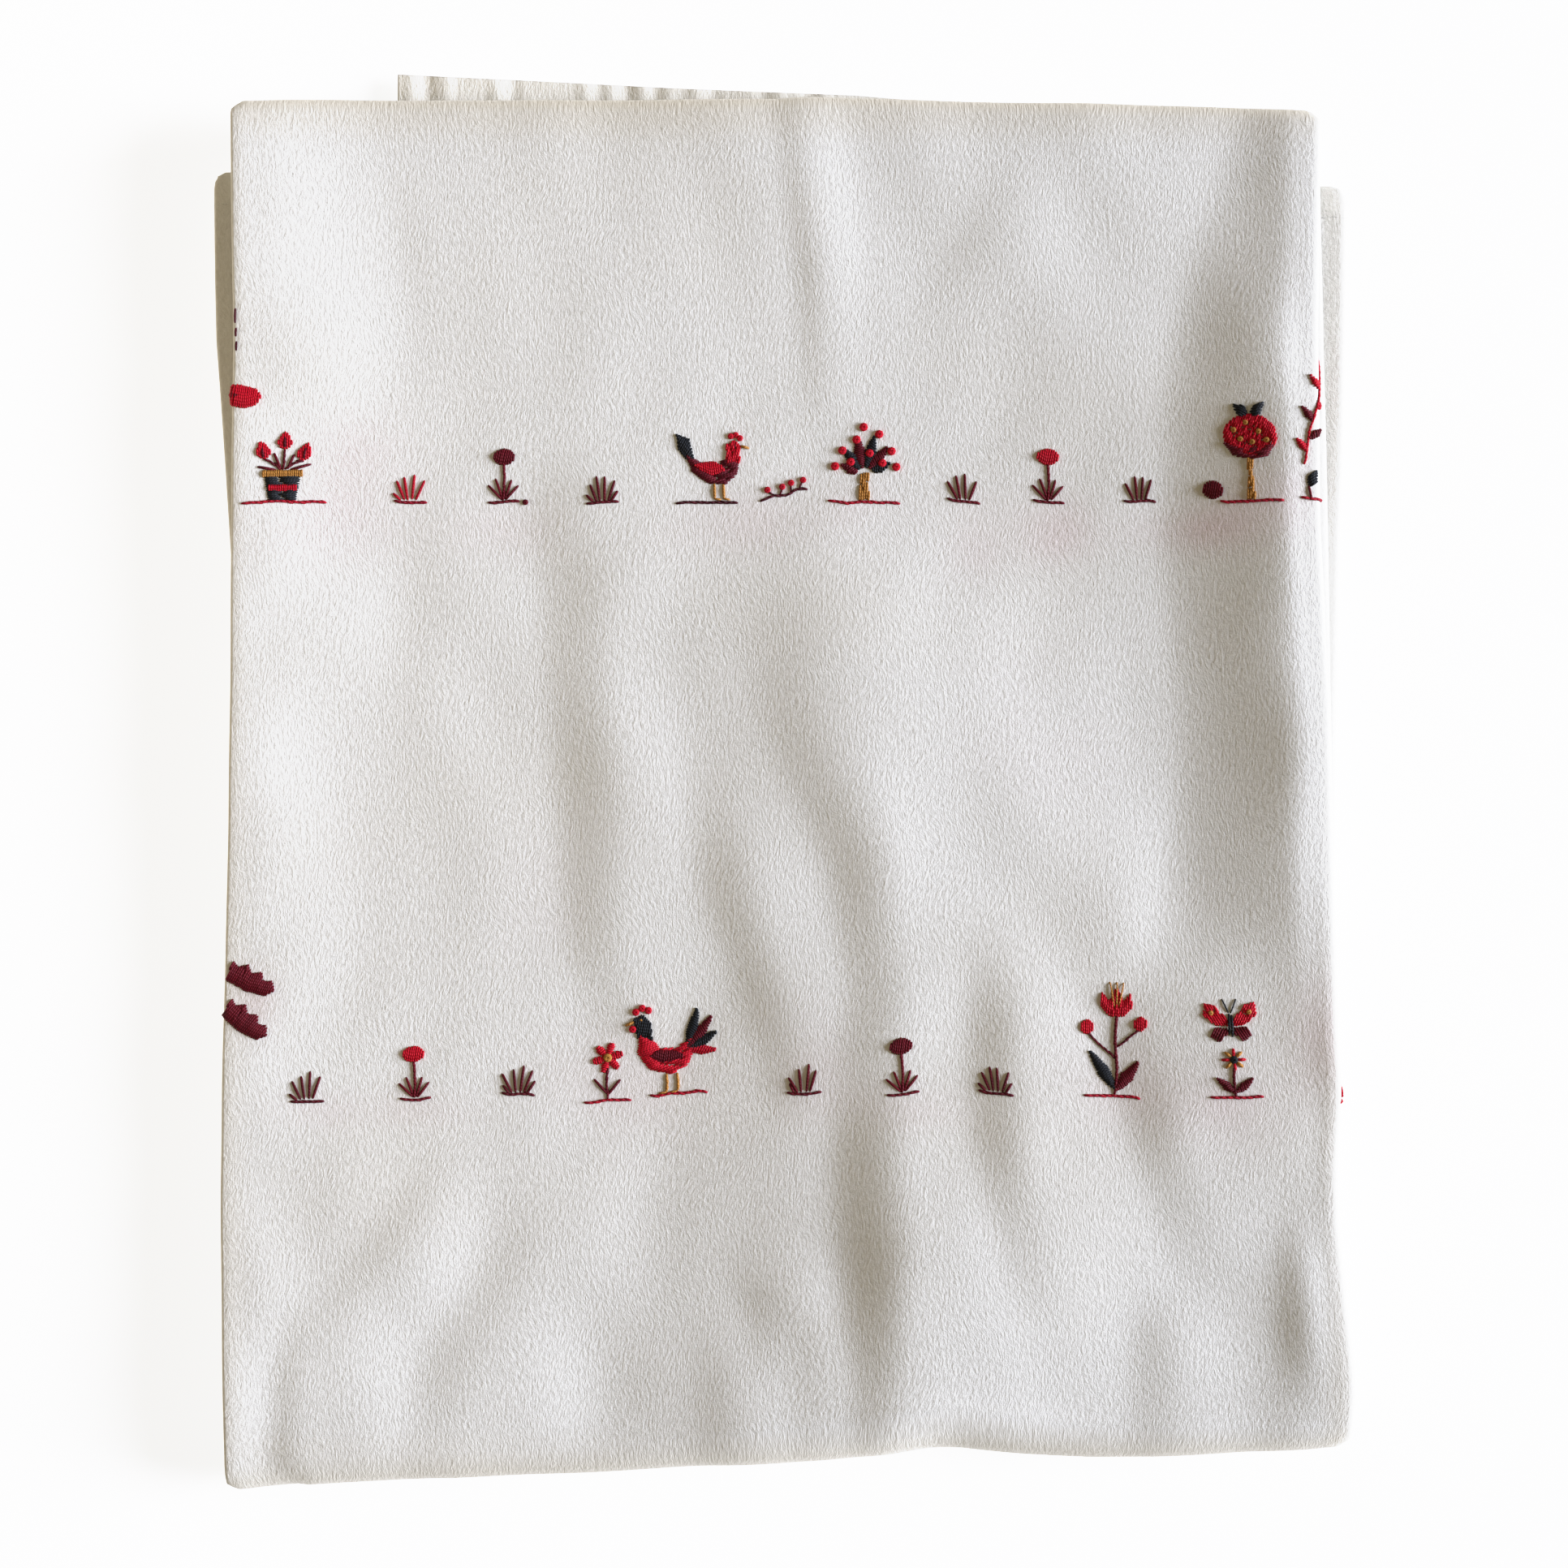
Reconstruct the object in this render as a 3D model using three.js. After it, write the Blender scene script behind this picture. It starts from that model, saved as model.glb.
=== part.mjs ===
// An embroidered tablecloth, folded in four across its width and then in four along its length,
// lying flat with its embroidered face up. The cloth is one piece with its hems, so it is one solid:
// a sheet that is followed through both foldings. Millimetres, +Z up. The origin is on the table under
// the middle of the bundle, +X runs to the right of the motifs and +Y towards their heads.
import * as THREE from "three";

// Driving dimensions of the sheet and of the bundle.
const SHEET = 1.0; // thickness of the cloth with its nap
const GAP = 0.4; // air left between two layers
const PITCH = SHEET + GAP; // from one layer to the next
const STRIP = 4 * PITCH; // height of the strip that the first folding makes
const HEIGHT = 4 * STRIP - GAP; // height of the bundle where it is flattest
const HALF_WIDTH = 201.5; // half the folded width, to the outside of the side folds
const HALF_LENGTH = 252; // half the folded length, to the outside of the end folds

// The two side hems lie inside the bundle, short of the left folds.
const UNDER_HEM_X = -190;
const FLAP_HEM_X = -143;

// The first folding, across the width: four layers of which the third is the face of the strip.
const LEFT_TURN = 0.5 * PITCH + SHEET / 2;
const RIGHT_TURN = 1.5 * PITCH + SHEET / 2;
const LAYERS = [
  { name: "under", level: -0.5 * PITCH, from: UNDER_HEM_X, to: HALF_WIDTH - RIGHT_TURN },
  { name: "inner", level: 0.5 * PITCH, from: HALF_WIDTH - RIGHT_TURN, to: -HALF_WIDTH + LEFT_TURN },
  { name: "face", level: 1.5 * PITCH, from: -HALF_WIDTH + LEFT_TURN, to: HALF_WIDTH - RIGHT_TURN },
  { name: "flap", level: -1.5 * PITCH, from: HALF_WIDTH - RIGHT_TURN, to: FLAP_HEM_X },
];
const FACE = 2;

// The second folding, along the length: four lengths of the strip, with the corners of each as it was
// laid, a little out of square.
const STRIP_HALF = 1.5 * PITCH + SHEET / 2;
const TOP_TURN = 0.5 * STRIP + STRIP_HALF;
const BOTTOM_TURN = 1.5 * STRIP + STRIP_HALF;
const LENGTHS = [
  {
    name: "inner hem end", level: 1.5 * STRIP, from: HALF_LENGTH, to: -HALF_LENGTH + BOTTOM_TURN,
    topLeft: [-210.9, 224.4], topRight: [207.6, 219.3],
    bottomLeft: [-205.5, -259.8], bottomRight: [206.4, -244.8],
  },
  {
    name: "inner length", level: 2.5 * STRIP, from: -HALF_LENGTH + BOTTOM_TURN, to: HALF_LENGTH - TOP_TURN,
    topLeft: [-204.3, 251.4], topRight: [198.6, 248.4],
    bottomLeft: [-205.5, -259.8], bottomRight: [206.4, -244.8],
  },
  {
    name: "front", level: 3.5 * STRIP, from: HALF_LENGTH - TOP_TURN, to: -HALF_LENGTH + BOTTOM_TURN,
    topLeft: [-204.3, 251.4], topRight: [198.6, 248.4],
    bottomLeft: [-206.7, -259.8], bottomRight: [209.4, -244.8],
  },
  {
    name: "underside", level: 0.5 * STRIP, from: -HALF_LENGTH + BOTTOM_TURN, to: HALF_LENGTH,
    topLeft: [-202.8, 245.0], topRight: [199.2, 243.0],
    bottomLeft: [-206.7, -259.8], bottomRight: [209.4, -244.8],
  },
];
const FRONT = 2;

// How far each hem ends past its strip, at the side hem, at the three folds and at the other side hem.
const INNER_HEM_ENDS = [-7, -2, 0, 0, -6];
const UNDERSIDE_HEM_ENDS = [-4, -1, 0.5, 0, 18];

// Across the width, at the places where every layer is creased: how much the springy folds lift the
// top of the bundle, and how far its two ends stand out from a straight line between their corners.
const ACROSS = [
  { x: -HALF_WIDTH, lift: 2.0, topOut: 0, bottomOut: 0 },
  { x: -188, lift: 2.6, topOut: 0.6, bottomOut: -0.5 },
  { x: -130, lift: 0, topOut: 2.0, bottomOut: -0.7 },
  { x: -40, lift: 0, topOut: 1.5, bottomOut: -1.0 },
  { x: 55, lift: 0, topOut: 1.7, bottomOut: -5.0 },
  { x: 95, lift: 0, topOut: 2.0, bottomOut: -0.8 },
  { x: 135, lift: 0.6, topOut: 1.4, bottomOut: 0.8 },
  { x: 166, lift: 4.4, topOut: 0.6, bottomOut: 0.3 },
  { x: 188, lift: 7.0, topOut: 0.2, bottomOut: -0.6 },
  { x: HALF_WIDTH, lift: 5.6, topOut: 0, bottomOut: 0 },
];

// Along the length: the share of that lift which is reached.
const ALONG = [
  { y: -HALF_LENGTH, share: 0.2 },
  { y: -170, share: 0.35 },
  { y: -60, share: 0.7 },
  { y: 70, share: 0.95 },
  { y: 170, share: 1.0 },
  { y: HALF_LENGTH, share: 0.7 },
];

// How far the sides of the front stand out from a straight line between its corners.
const SIDES = [
  { y: -HALF_LENGTH, leftOut: 0, rightOut: 0 },
  { y: -200, leftOut: 1.2, rightOut: 1.0 },
  { y: -145, leftOut: 2.2, rightOut: -0.9 },
  { y: -90, leftOut: 1.5, rightOut: -0.4 },
  { y: -10, leftOut: -0.4, rightOut: 0 },
  { y: 30, leftOut: -0.9, rightOut: -0.9 },
  { y: 95, leftOut: -1.3, rightOut: -3.2 },
  { y: 170, leftOut: -1.9, rightOut: -2.0 },
  { y: HALF_LENGTH, leftOut: 0, rightOut: 0 },
];

// The corners of the bundle are drawn in, because cloth can't fold to a sharp corner.
const CORNER_DRAW = 3.2;
const CORNER_REACH = 16;

// Main creases of the front, from their upper end to their lower one: the height of each ridge and
// how wide its slopes are to its left and to its right.
const CREASES = [
  { name: "middle, upper part", fromX: 28, fromY: 40, toX: 30, toY: -20, height: 2.0, left: 24, right: 44 },
  { name: "middle, slanting part", fromX: 30, fromY: -20, toX: 49, toY: -90, height: 3.0, left: 20, right: 40 },
  { name: "middle, foot", fromX: 49, fromY: -90, toX: 42, toY: -205, height: 4.4, left: 22, right: 42 },
  { name: "left", fromX: -66, fromY: 95, toX: -59, toY: -65, height: 2.0, left: 22, right: 46 },
  { name: "short", fromX: -16, fromY: -10, toX: 6, toY: -95, height: 1.6, left: 18, right: 18 },
  { name: "right", fromX: 89, fromY: -60, toX: 97, toY: -160, height: 1.8, left: 20, right: 30 },
  { name: "far right", fromX: 143, fromY: -60, toX: 158, toY: -175, height: 1.8, left: 20, right: 20 },
];
const CREASE_END = 25; // length over which a ridge rises and dies away

// Stations that only the front needs, so that its creases and its sides show.
const CREASE_COLUMNS = [-100, -80, -62, -18, 10, 28, 41, 72, 112, 150, 178];
const FRONT_ROWS = [130, 95, 30, -10, -35, -90, -145, -200];

const SMALL_TURN_STEPS = 4;
const LARGE_TURN_STEPS = 6;
const CLOTH_COLOUR = "#d9d6cf";

// Reads a table straight between its rows.
function lookUp(table, key, value, at) {
  const last = table.length - 1;
  if (at <= table[0][key]) return table[0][value];
  if (at >= table[last][key]) return table[last][value];
  const next = table.findIndex((row) => row[key] >= at);
  const [low, high] = [table[next - 1], table[next]];
  return low[value] + ((at - low[key]) / (high[key] - low[key])) * (high[value] - low[value]);
}

function smooth(t) {
  const s = Math.min(1, Math.max(0, t));
  return s * s * (3 - 2 * s);
}

function mix(a, b, share) {
  return a + (b - a) * share;
}

// The stations of one straight run: its start if nothing comes before it, the stops on its way and
// its end. The normal points to the cloth's embroidered face.
function straightRun(run, index, stops, side, isFirst, isLast) {
  const way = Math.sign(run.to - run.from);
  const between = stops
    .filter((stop) => (stop - run.from) * way > 2 && (run.to - stop) * way > 2)
    .sort((a, b) => (a - b) * way);
  const places = [...(isFirst ? [run.from] : []), ...between, ...(isLast ? [run.to] : [])];
  return places.map((along) => ({ along, level: run.level, normal: [0, side * way], run: index }));
}

// The stations of the half circle that joins a run to the next one.
function halfTurn(run, next, index, side) {
  const way = Math.sign(run.to - run.from);
  const middle = (run.level + next.level) / 2;
  const rise = run.level - middle;
  const radius = Math.abs(rise);
  const steps = radius > 2 * PITCH ? LARGE_TURN_STEPS : SMALL_TURN_STEPS;
  return Array.from({ length: steps + 1 }, (_, step) => {
    const angle = (Math.PI * step) / steps;
    const tangent = [way * Math.cos(angle), -Math.sign(rise) * Math.sin(angle)];
    return {
      along: run.to + way * radius * Math.sin(angle),
      level: middle + rise * Math.cos(angle),
      normal: [-side * tangent[1], side * tangent[0]],
      run: index + step / steps,
    };
  });
}

// A back-and-forth line. One run has more stops than the others.
function foldedLine(runs, stops, fineRun, fineStops, side) {
  return runs.flatMap((run, index) => {
    const next = runs[index + 1];
    const ownStops = index === fineRun ? [...stops, ...fineStops] : stops;
    const straight = straightRun(run, index, ownStops, side, index === 0, !next);
    return next ? [...straight, ...halfTurn(run, next, index, side)] : straight;
  });
}

// How far the hem reaches past its strip at a place in one of the layers.
function hemEnd(ends, column) {
  const layer = Math.min(Math.floor(column.run), LAYERS.length - 1);
  if (column.run !== layer) return ends[layer + 1];
  const { from, to } = LAYERS[layer];
  return mix(ends[layer], ends[layer + 1], (column.along - from) / (to - from));
}

// The height that the creases give the front at a place on it.
function creaseHeight(x, y) {
  const heights = CREASES.map(({ fromX, fromY, toX, toY, height, left, right }) => {
    const length = Math.hypot(toX - fromX, toY - fromY);
    const along = ((x - fromX) * (toX - fromX) + (y - fromY) * (toY - fromY)) / length;
    const aside = ((x - fromX) * (fromY - toY) + (y - fromY) * (toX - fromX)) / length;
    const slope = Math.min(1, Math.abs(aside) / (aside > 0 ? right : left));
    const ends = smooth(1 + along / CREASE_END) * smooth(1 + (length - along) / CREASE_END);
    return height * (1 - slope * slope) ** 2 * ends;
  });
  return Math.max(...heights);
}

// Moves a point of the squarely folded cloth to where it lies in the bundle. The run says which
// length of the strip it belongs to, or how far it is round the turn to the next one.
function lay(x, y, z, run) {
  const low = LENGTHS[Math.floor(run)];
  const high = LENGTHS[Math.ceil(run)];
  const turned = run - Math.floor(run);
  const a = (x + HALF_WIDTH) / (2 * HALF_WIDTH);
  const b = (y + HALF_LENGTH) / (2 * HALF_LENGTH);
  const corner = (name, axis) => mix(low[name][axis], high[name][axis], turned);
  const [squareX, squareY] = [0, 1].map((axis) =>
    mix(
      mix(corner("bottomLeft", axis), corner("bottomRight", axis), a),
      mix(corner("topLeft", axis), corner("topRight", axis), a),
      b,
    ));
  const frontShare = Math.max(0, 1 - Math.abs(run - FRONT));
  const sideOut = mix(-lookUp(SIDES, "y", "leftOut", y), lookUp(SIDES, "y", "rightOut", y), a);
  const endOut = mix(-lookUp(ACROSS, "x", "bottomOut", x), lookUp(ACROSS, "x", "topOut", x), b);
  const drawn = CORNER_DRAW
    * smooth((Math.abs(x) - HALF_WIDTH + CORNER_REACH) / CORNER_REACH)
    * smooth((Math.abs(y) - HALF_LENGTH + CORNER_REACH) / CORNER_REACH);
  const lift = lookUp(ACROSS, "x", "lift", x) * lookUp(ALONG, "y", "share", y);
  return [
    squareX + frontShare * sideOut - Math.sign(x) * drawn,
    squareY + endOut - Math.sign(y) * drawn,
    z + (lift * z) / HEIGHT,
  ];
}

const columns = foldedLine(LAYERS, ACROSS.map((row) => row.x), FACE, CREASE_COLUMNS, 1);
const rows = foldedLine(LENGTHS, ALONG.map((row) => row.y), FRONT, FRONT_ROWS, -1);

// One corner of the sheet: the skin is 1 for the embroidered face and -1 for the back.
function clothPoint(row, column, skin) {
  const x = column.along + (skin * SHEET * column.normal[0]) / 2;
  const height = column.level + (skin * SHEET * column.normal[1]) / 2;
  let y = row.along + row.normal[0] * height;
  if (row === rows[0]) y += hemEnd(INNER_HEM_ENDS, column);
  if (row === rows[rows.length - 1]) y += hemEnd(UNDERSIDE_HEM_ENDS, column);
  const z = row.level + row.normal[1] * height - GAP / 2;
  const place = lay(x, y, z, row.run);
  if (column.run === FACE && row.run === FRONT) place[2] += creaseHeight(place[0], place[1]);
  return place;
}
const FACE_SKIN = 1;
const BACK_SKIN = -1;
const positions = [FACE_SKIN, BACK_SKIN].flatMap((skin) =>
  rows.flatMap((row) => columns.flatMap((column) => clothPoint(row, column, skin))));

// Two triangles to each facet. They are cut along the same way in every layer, so the layers nest.
const indices = [];
function facet(a, b, c, d, cutFromFirst) {
  if (cutFromFirst) indices.push(a, b, c, a, c, d);
  else indices.push(a, b, d, b, c, d);
}
const front = (row, column) => row * columns.length + column;
const back = (row, column) => (rows.length + row) * columns.length + column;

for (let row = 0; row < rows.length - 1; row++) {
  for (let column = 0; column < columns.length - 1; column++) {
    const rightwards = columns[column + 1].along > columns[column].along;
    const upwards = rows[row + 1].along > rows[row].along;
    const cut = rightwards === upwards;
    const square = [[row, column], [row, column + 1], [row + 1, column + 1], [row + 1, column]];
    facet(...square.map((place) => back(...place)), cut);
    facet(...square.map((place) => front(...place)).reverse(), !cut);
  }
}

// The four hemmed edges close the sheet.
function closeEdge(count, place) {
  for (let step = 0; step < count - 1; step++) {
    const [here, next] = [place(step), place(step + 1)];
    facet(front(...here), front(...next), back(...next), back(...here), true);
  }
}
const lastRow = rows.length - 1;
const lastColumn = columns.length - 1;
closeEdge(columns.length, (step) => [0, step]);
closeEdge(rows.length, (step) => [step, lastColumn]);
closeEdge(columns.length, (step) => [lastRow, lastColumn - step]);
closeEdge(rows.length, (step) => [lastRow - step, 0]);

const geometry = new THREE.BufferGeometry();
geometry.setAttribute("position", new THREE.Float32BufferAttribute(positions, 3));
geometry.setIndex(indices);
geometry.computeVertexNormals();

// The middle of the bundle's outline goes over the origin.
geometry.computeBoundingBox();
const middle = geometry.boundingBox.getCenter(new THREE.Vector3());
geometry.translate(-middle.x, -middle.y, 0);

const cloth = new THREE.Mesh(
  geometry,
  new THREE.MeshStandardMaterial({ color: CLOTH_COLOUR, roughness: 0.92, metalness: 0 }),
);
cloth.name = "cloth";

const tablecloth = new THREE.Group();
tablecloth.add(cloth);

export default tablecloth;
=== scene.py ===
# An embroidered tablecloth, folded into a flat bundle and seen from straight above. The cloth replaces
# the plain folded sheet of the solid model, and the sewing and the embroidery lie on it.
import math
import random

import bpy
import numpy as np
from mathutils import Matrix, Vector


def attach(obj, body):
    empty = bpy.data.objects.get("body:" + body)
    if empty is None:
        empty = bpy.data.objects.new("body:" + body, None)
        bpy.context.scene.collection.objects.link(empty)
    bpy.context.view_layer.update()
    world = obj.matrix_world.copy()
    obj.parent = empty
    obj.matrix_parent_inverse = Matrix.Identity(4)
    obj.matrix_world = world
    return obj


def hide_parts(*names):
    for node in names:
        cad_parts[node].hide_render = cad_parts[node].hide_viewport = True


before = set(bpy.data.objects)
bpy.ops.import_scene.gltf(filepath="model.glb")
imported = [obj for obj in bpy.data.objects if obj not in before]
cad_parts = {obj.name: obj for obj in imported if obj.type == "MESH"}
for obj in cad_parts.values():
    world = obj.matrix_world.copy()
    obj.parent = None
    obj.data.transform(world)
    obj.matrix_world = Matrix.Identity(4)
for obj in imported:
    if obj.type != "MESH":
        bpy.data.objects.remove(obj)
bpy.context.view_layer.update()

# THE CLOTH
# One piece of washed cotton and linen with turned hems, folded in four across its width and then in
# four along its length. The sheet is followed through both foldings, as in the solid. Millimetres.
MM = 0.001
SHEET = 0.9
PITCH = 1.4
STRIP = 4 * PITCH
STACK = 4 * STRIP
HALF_WIDTH = 201.5
HALF_LENGTH = 252.0
UNDER_HEM_X = -190.0
FLAP_HEM_X = -143.0
FLOOR_DROP = 2 * PITCH - 1.5 * PITCH - SHEET / 2  # brings the lowest skin down to the floor
TURN_ROOM = 0.5
LEFT_TURN = 0.5 * PITCH + TURN_ROOM
RIGHT_TURN = 1.5 * PITCH + TURN_ROOM
TOP_TURN = 0.5 * STRIP + 1.5 * PITCH + TURN_ROOM
BOTTOM_TURN = 1.5 * STRIP + 1.5 * PITCH + TURN_ROOM
LEFT_END = LEFT_TURN - HALF_WIDTH
RIGHT_END = HALF_WIDTH - RIGHT_TURN
TOP_END = HALF_LENGTH - TOP_TURN
BOTTOM_END = BOTTOM_TURN - HALF_LENGTH
TURN_STEPS = 8
EDGE_BAND = 0.7  # a narrow row of faces along the hems' edges keeps them crisp
SOLID_MIDDLE = (-0.37, 2.89)  # the middle of the outline, which the solid has over its origin

# The four layers across the width, and then the four lengths of the strip, each with how far apart its
# stations are in the middle, how far apart near its ends, and how long those end zones are.
LAYERS = [
    {"level": -0.5 * PITCH, "start": UNDER_HEM_X, "end": RIGHT_END, "step": 34, "near": 8, "zone": 64},
    {"level": 0.5 * PITCH, "start": RIGHT_END, "end": LEFT_END, "step": 34, "near": 8, "zone": 64},
    {"level": 1.5 * PITCH, "start": LEFT_END, "end": RIGHT_END, "step": 4.0, "near": 3.0, "zone": 12},
    {"level": -1.5 * PITCH, "start": RIGHT_END, "end": FLAP_HEM_X, "step": 34, "near": 8, "zone": 64},
]
FACE = 2
FLAP = 3
LENGTHS = [
    {"level": 1.5 * STRIP, "start": HALF_LENGTH, "end": BOTTOM_END, "step": 24, "near": 3.2, "zone": 16},
    {"level": 2.5 * STRIP, "start": BOTTOM_END, "end": TOP_END, "step": 24, "near": 4, "zone": 16},
    {"level": 3.5 * STRIP, "start": TOP_END, "end": BOTTOM_END, "step": 4.4, "near": 3.2, "zone": 12},
    {"level": 0.5 * STRIP, "start": BOTTOM_END, "end": HALF_LENGTH, "step": 24, "near": 3.2, "zone": 19},
]
INNERMOST = 0
FRONT = 2
UNDERSIDE = 3

# The corners of each of the four lengths as it was laid.
CORNERS = {
    "top_left": [(-212.4, 226.0), (-204.3, 251.4), (-204.3, 251.4), (-202.8, 245.0)],
    "top_right": [(209.6, 221.0), (198.6, 248.4), (198.6, 248.4), (199.2, 243.0)],
    "bottom_left": [(-205.5, -259.8), (-205.5, -259.8), (-206.7, -259.8), (-206.7, -259.8)],
    "bottom_right": [(206.4, -244.8), (206.4, -244.8), (209.4, -244.8), (209.4, -244.8)],
}

# How far each hem ends past its strip: at the side hem, the three folds and the other side hem.
INNER_HEM_ENDS = [-7, -2, 0, 0, -6]
UNDERSIDE_HEM_ENDS = [-4, -1, 0.5, 0, 18]
HEM_ZONE = 82

# How far the edges of the front, and the sides of the innermost length, stand out from a straight line
# between their corners: a place along the edge and how far the edge is out there.
TOP_EDGE = [
    (-201, 1.6), (-188, 1.9), (-164, 2.4), (-130, 2.6), (-74, 3.4), (-40, 3.6), (-20, 3.7), (16, 4.8),
    (34, 4.8), (55, 4.3), (95, 3.4), (135, 3.0), (166, 2.5), (201, 1.2),
]
BOTTOM_EDGE = [
    (-201, 3.6), (-182, 1.9), (-150, 1.0), (-110, 1.1), (-74, 1.5), (-56, 0.5), (-20, -2.3), (0, -3.4),
    (16, -4.3), (34, -6.4), (46, -8.8), (56, -9.6), (70, -6.6), (88, -3.2), (106, -0.3), (124, 0.9),
    (142, 1.3), (160, 1.8), (178, 2.3), (201, 1.2),
]
LEFT_SIDE = [
    (-252, 0), (-200, 1.2), (-145, 2.2), (-90, 1.5), (-10, -0.4), (30, -0.9), (95, -1.3), (170, -1.9),
    (252, 0),
]
RIGHT_SIDE = [
    (-252, 0), (-228, 1.8), (-200, -0.8), (-166, -3.8), (-142, -3.8), (-118, -1.8), (-94, -2.8),
    (-70, -2.6), (-20, -3.0), (30, -3.2), (95, -5.0), (170, -3.4), (252, 0),
]
INNER_LEFT_SIDE = [
    (-252, 0), (-100, 0), (-46, -2.0), (0, -2.9), (46, -4.4), (74, -5.6), (100, -5.0), (122, -3.6),
    (146, -2.6), (190, 0), (252, 0),
]
INNER_RIGHT_SIDE = [
    (-252, 0), (-200, -2), (-100, -3), (20, -3.4), (74, -2.6), (110, -2.2), (150, -0.6), (220, 0),
    (252, 0),
]
CORNER_DRAW = 1.4  # the corners are drawn in a little, over a short reach
CORNER_REACH = 5
EDGE_CURL = 1.3  # the edge of the length that shows at the right is curled up a little
EDGE_CURL_REACH = 11

# The springy folds lift the sides of the bundle. Each row says, at one height of the bundle, how far
# the fold is lifted and where its slope begins, at the left and at the right, and where the right
# one's crest is. A slope climbs slowly at first, then evenly, and the folds wave a little.
FOLD_LIFTS = [
    {"y": -252, "left": 1.6, "left_from": 185, "right": 6.0, "right_from": 84, "crest": 196},
    {"y": -215, "left": 2.4, "left_from": 178, "right": 11.4, "right_from": 84, "crest": 197},
    {"y": -150, "left": 1.6, "left_from": 165, "right": 14.2, "right_from": 92, "crest": 198},
    {"y": -100, "left": 1.6, "left_from": 155, "right": 15.0, "right_from": 112, "crest": 198},
    {"y": -60, "left": 2.0, "left_from": 150, "right": 14.6, "right_from": 134, "crest": 197},
    {"y": 0, "left": 3.8, "left_from": 140, "right": 14.4, "right_from": 145, "crest": 193},
    {"y": 80, "left": 6.0, "left_from": 134, "right": 14.4, "right_from": 141, "crest": 191},
    {"y": 150, "left": 7.4, "left_from": 134, "right": 9.6, "right_from": 142, "crest": 188},
    {"y": 215, "left": 7.2, "left_from": 142, "right": 3.8, "right_from": 158, "crest": 189},
    {"y": 252, "left": 4.0, "left_from": 148, "right": 1.2, "right_from": 172, "crest": 190},
]
LEFT_CREST = HALF_WIDTH - 3
SLOW_SHARE = 0.4
CLIMB_POWER = 1.4
CREST_FALL = 0.02
CREST_END = HALF_WIDTH + 4
FOLD_WAVES = [{"high": 0.5, "long": 17.0, "shift": 1.3}, {"high": 0.35, "long": 9.1, "shift": 0}]
WAVES_FROM = 176
WAVES_REACH = 22
LIFT_REACH = 16

# Creases of the front. Each has the points of its ridge from one end to the other, and each point has
# its x and y, the height of the ridge there and the widths of its slopes to the left and to the right.
CREASES = {
    "top": [(6, 250, 0.8, 11, 18), (14, 190, 1.3, 11, 18), (17, 121, 0, 11, 18)],
    "left": [
        (-68, 128, 0, 30, 90), (-63, 80, 3.0, 32, 120), (-58, 0, 4.0, 30, 130), (-55, -60, 2.9, 28, 110),
        (-50, -104, 0, 24, 80),
    ],
    "middle": [
        (28, 116, 0, 60, 80), (31, 60, 3.2, 58, 90), (36, 14, 4.4, 42, 100), (43, -25, 4.7, 31, 110),
        (48, -76, 4.0, 28, 110), (47, -112, 3.6, 32, 110), (47, -136, 5.4, 33, 130),
        (50, -170, 7.6, 34, 136), (46, -200, 5.4, 27, 140), (43, -222, 2.6, 20, 100),
        (41, -248, 2.0, 19, 80),
    ],
    "rise to the middle": [
        (26, 124, 0, 76, 140), (30, 56, 3.6, 74, 150), (40, -50, 4.4, 80, 146), (46, -120, 4.6, 92, 140),
        (42, -190, 7.0, 112, 142), (38, -248, 7.4, 120, 146),
    ],
    "short": [(-20, 24, 0, 24, 60), (-10, -32, 2.3, 25, 70), (6, -85, 2.4, 22, 70), (14, -126, 0, 20, 60)],
    "right": [
        (84, -44, 0, 22, 80), (89, -88, 2.7, 24, 110), (92, -128, 4.0, 26, 120), (98, -166, 2.0, 23, 110),
        (102, -200, 0, 18, 90),
    ],
    "far right": [
        (124, 10, 0, 44, 60), (130, -46, 1.8, 40, 60), (140, -88, 2.8, 28, 56), (149, -126, 3.2, 25, 50),
        (160, -160, 2.0, 26, 44), (170, -196, 0, 24, 30),
    ],
    "right foot": [(150, -182, 0, 20, 34), (147, -205, 1.6, 22, 36), (146, -244, 1.2, 22, 36)],
    "right corner": [
        (190, -156, 0, 12, 16), (191, -180, 1.4, 12, 16), (192, -204, 1.4, 12, 16), (192, -228, 0, 12, 14),
    ],
    "left foot": [
        (-78, -120, 0, 26, 44), (-90, -180, 1.5, 26, 48), (-114, -226, 1.9, 26, 50),
        (-122, -248, 1.2, 24, 46),
    ],
    "slanting": [
        (-112, -128, 0, 18, 30), (-128, -160, 1.2, 18, 30), (-158, -196, 1.1, 18, 30),
        (-174, -214, 0, 16, 28),
    ],
    "left corner": [(-172, -190, 0, 14, 70), (-178, -220, 1.7, 14, 80), (-179, -248, 1.4, 13, 70)],
    "shoulder": [
        (142, 230, 0, 80, 84), (143, 150, 1.4, 92, 84), (144, 80, 3.0, 100, 84), (142, 30, 3.6, 98, 84),
        (141, -30, 4.2, 96, 84), (137, -84, 2.0, 84, 76), (134, -130, 0, 70, 70),
    ],
    "first small": [(-18, -168, 0, 12, 24), (-2, -190, 1.2, 14, 26), (3, -220, 0, 14, 26)],
    "second small": [(2, -178, 0, 14, 24), (17, -205, 1.1, 16, 24), (17, -244, 0.5, 16, 22)],
    "third small": [(-26, -192, 0, 16, 34), (-15, -220, 1.1, 20, 34), (-16, -248, 0.5, 18, 34)],
    "faint slant": [(100, 236, 0, 16, 26), (76, 196, 0.7, 16, 26), (44, 150, 0, 16, 26)],
    "upper left": [(-132, 240, 0, 18, 60), (-126, 200, 0.8, 18, 60), (-118, 150, 0, 18, 60)],
}
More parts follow.
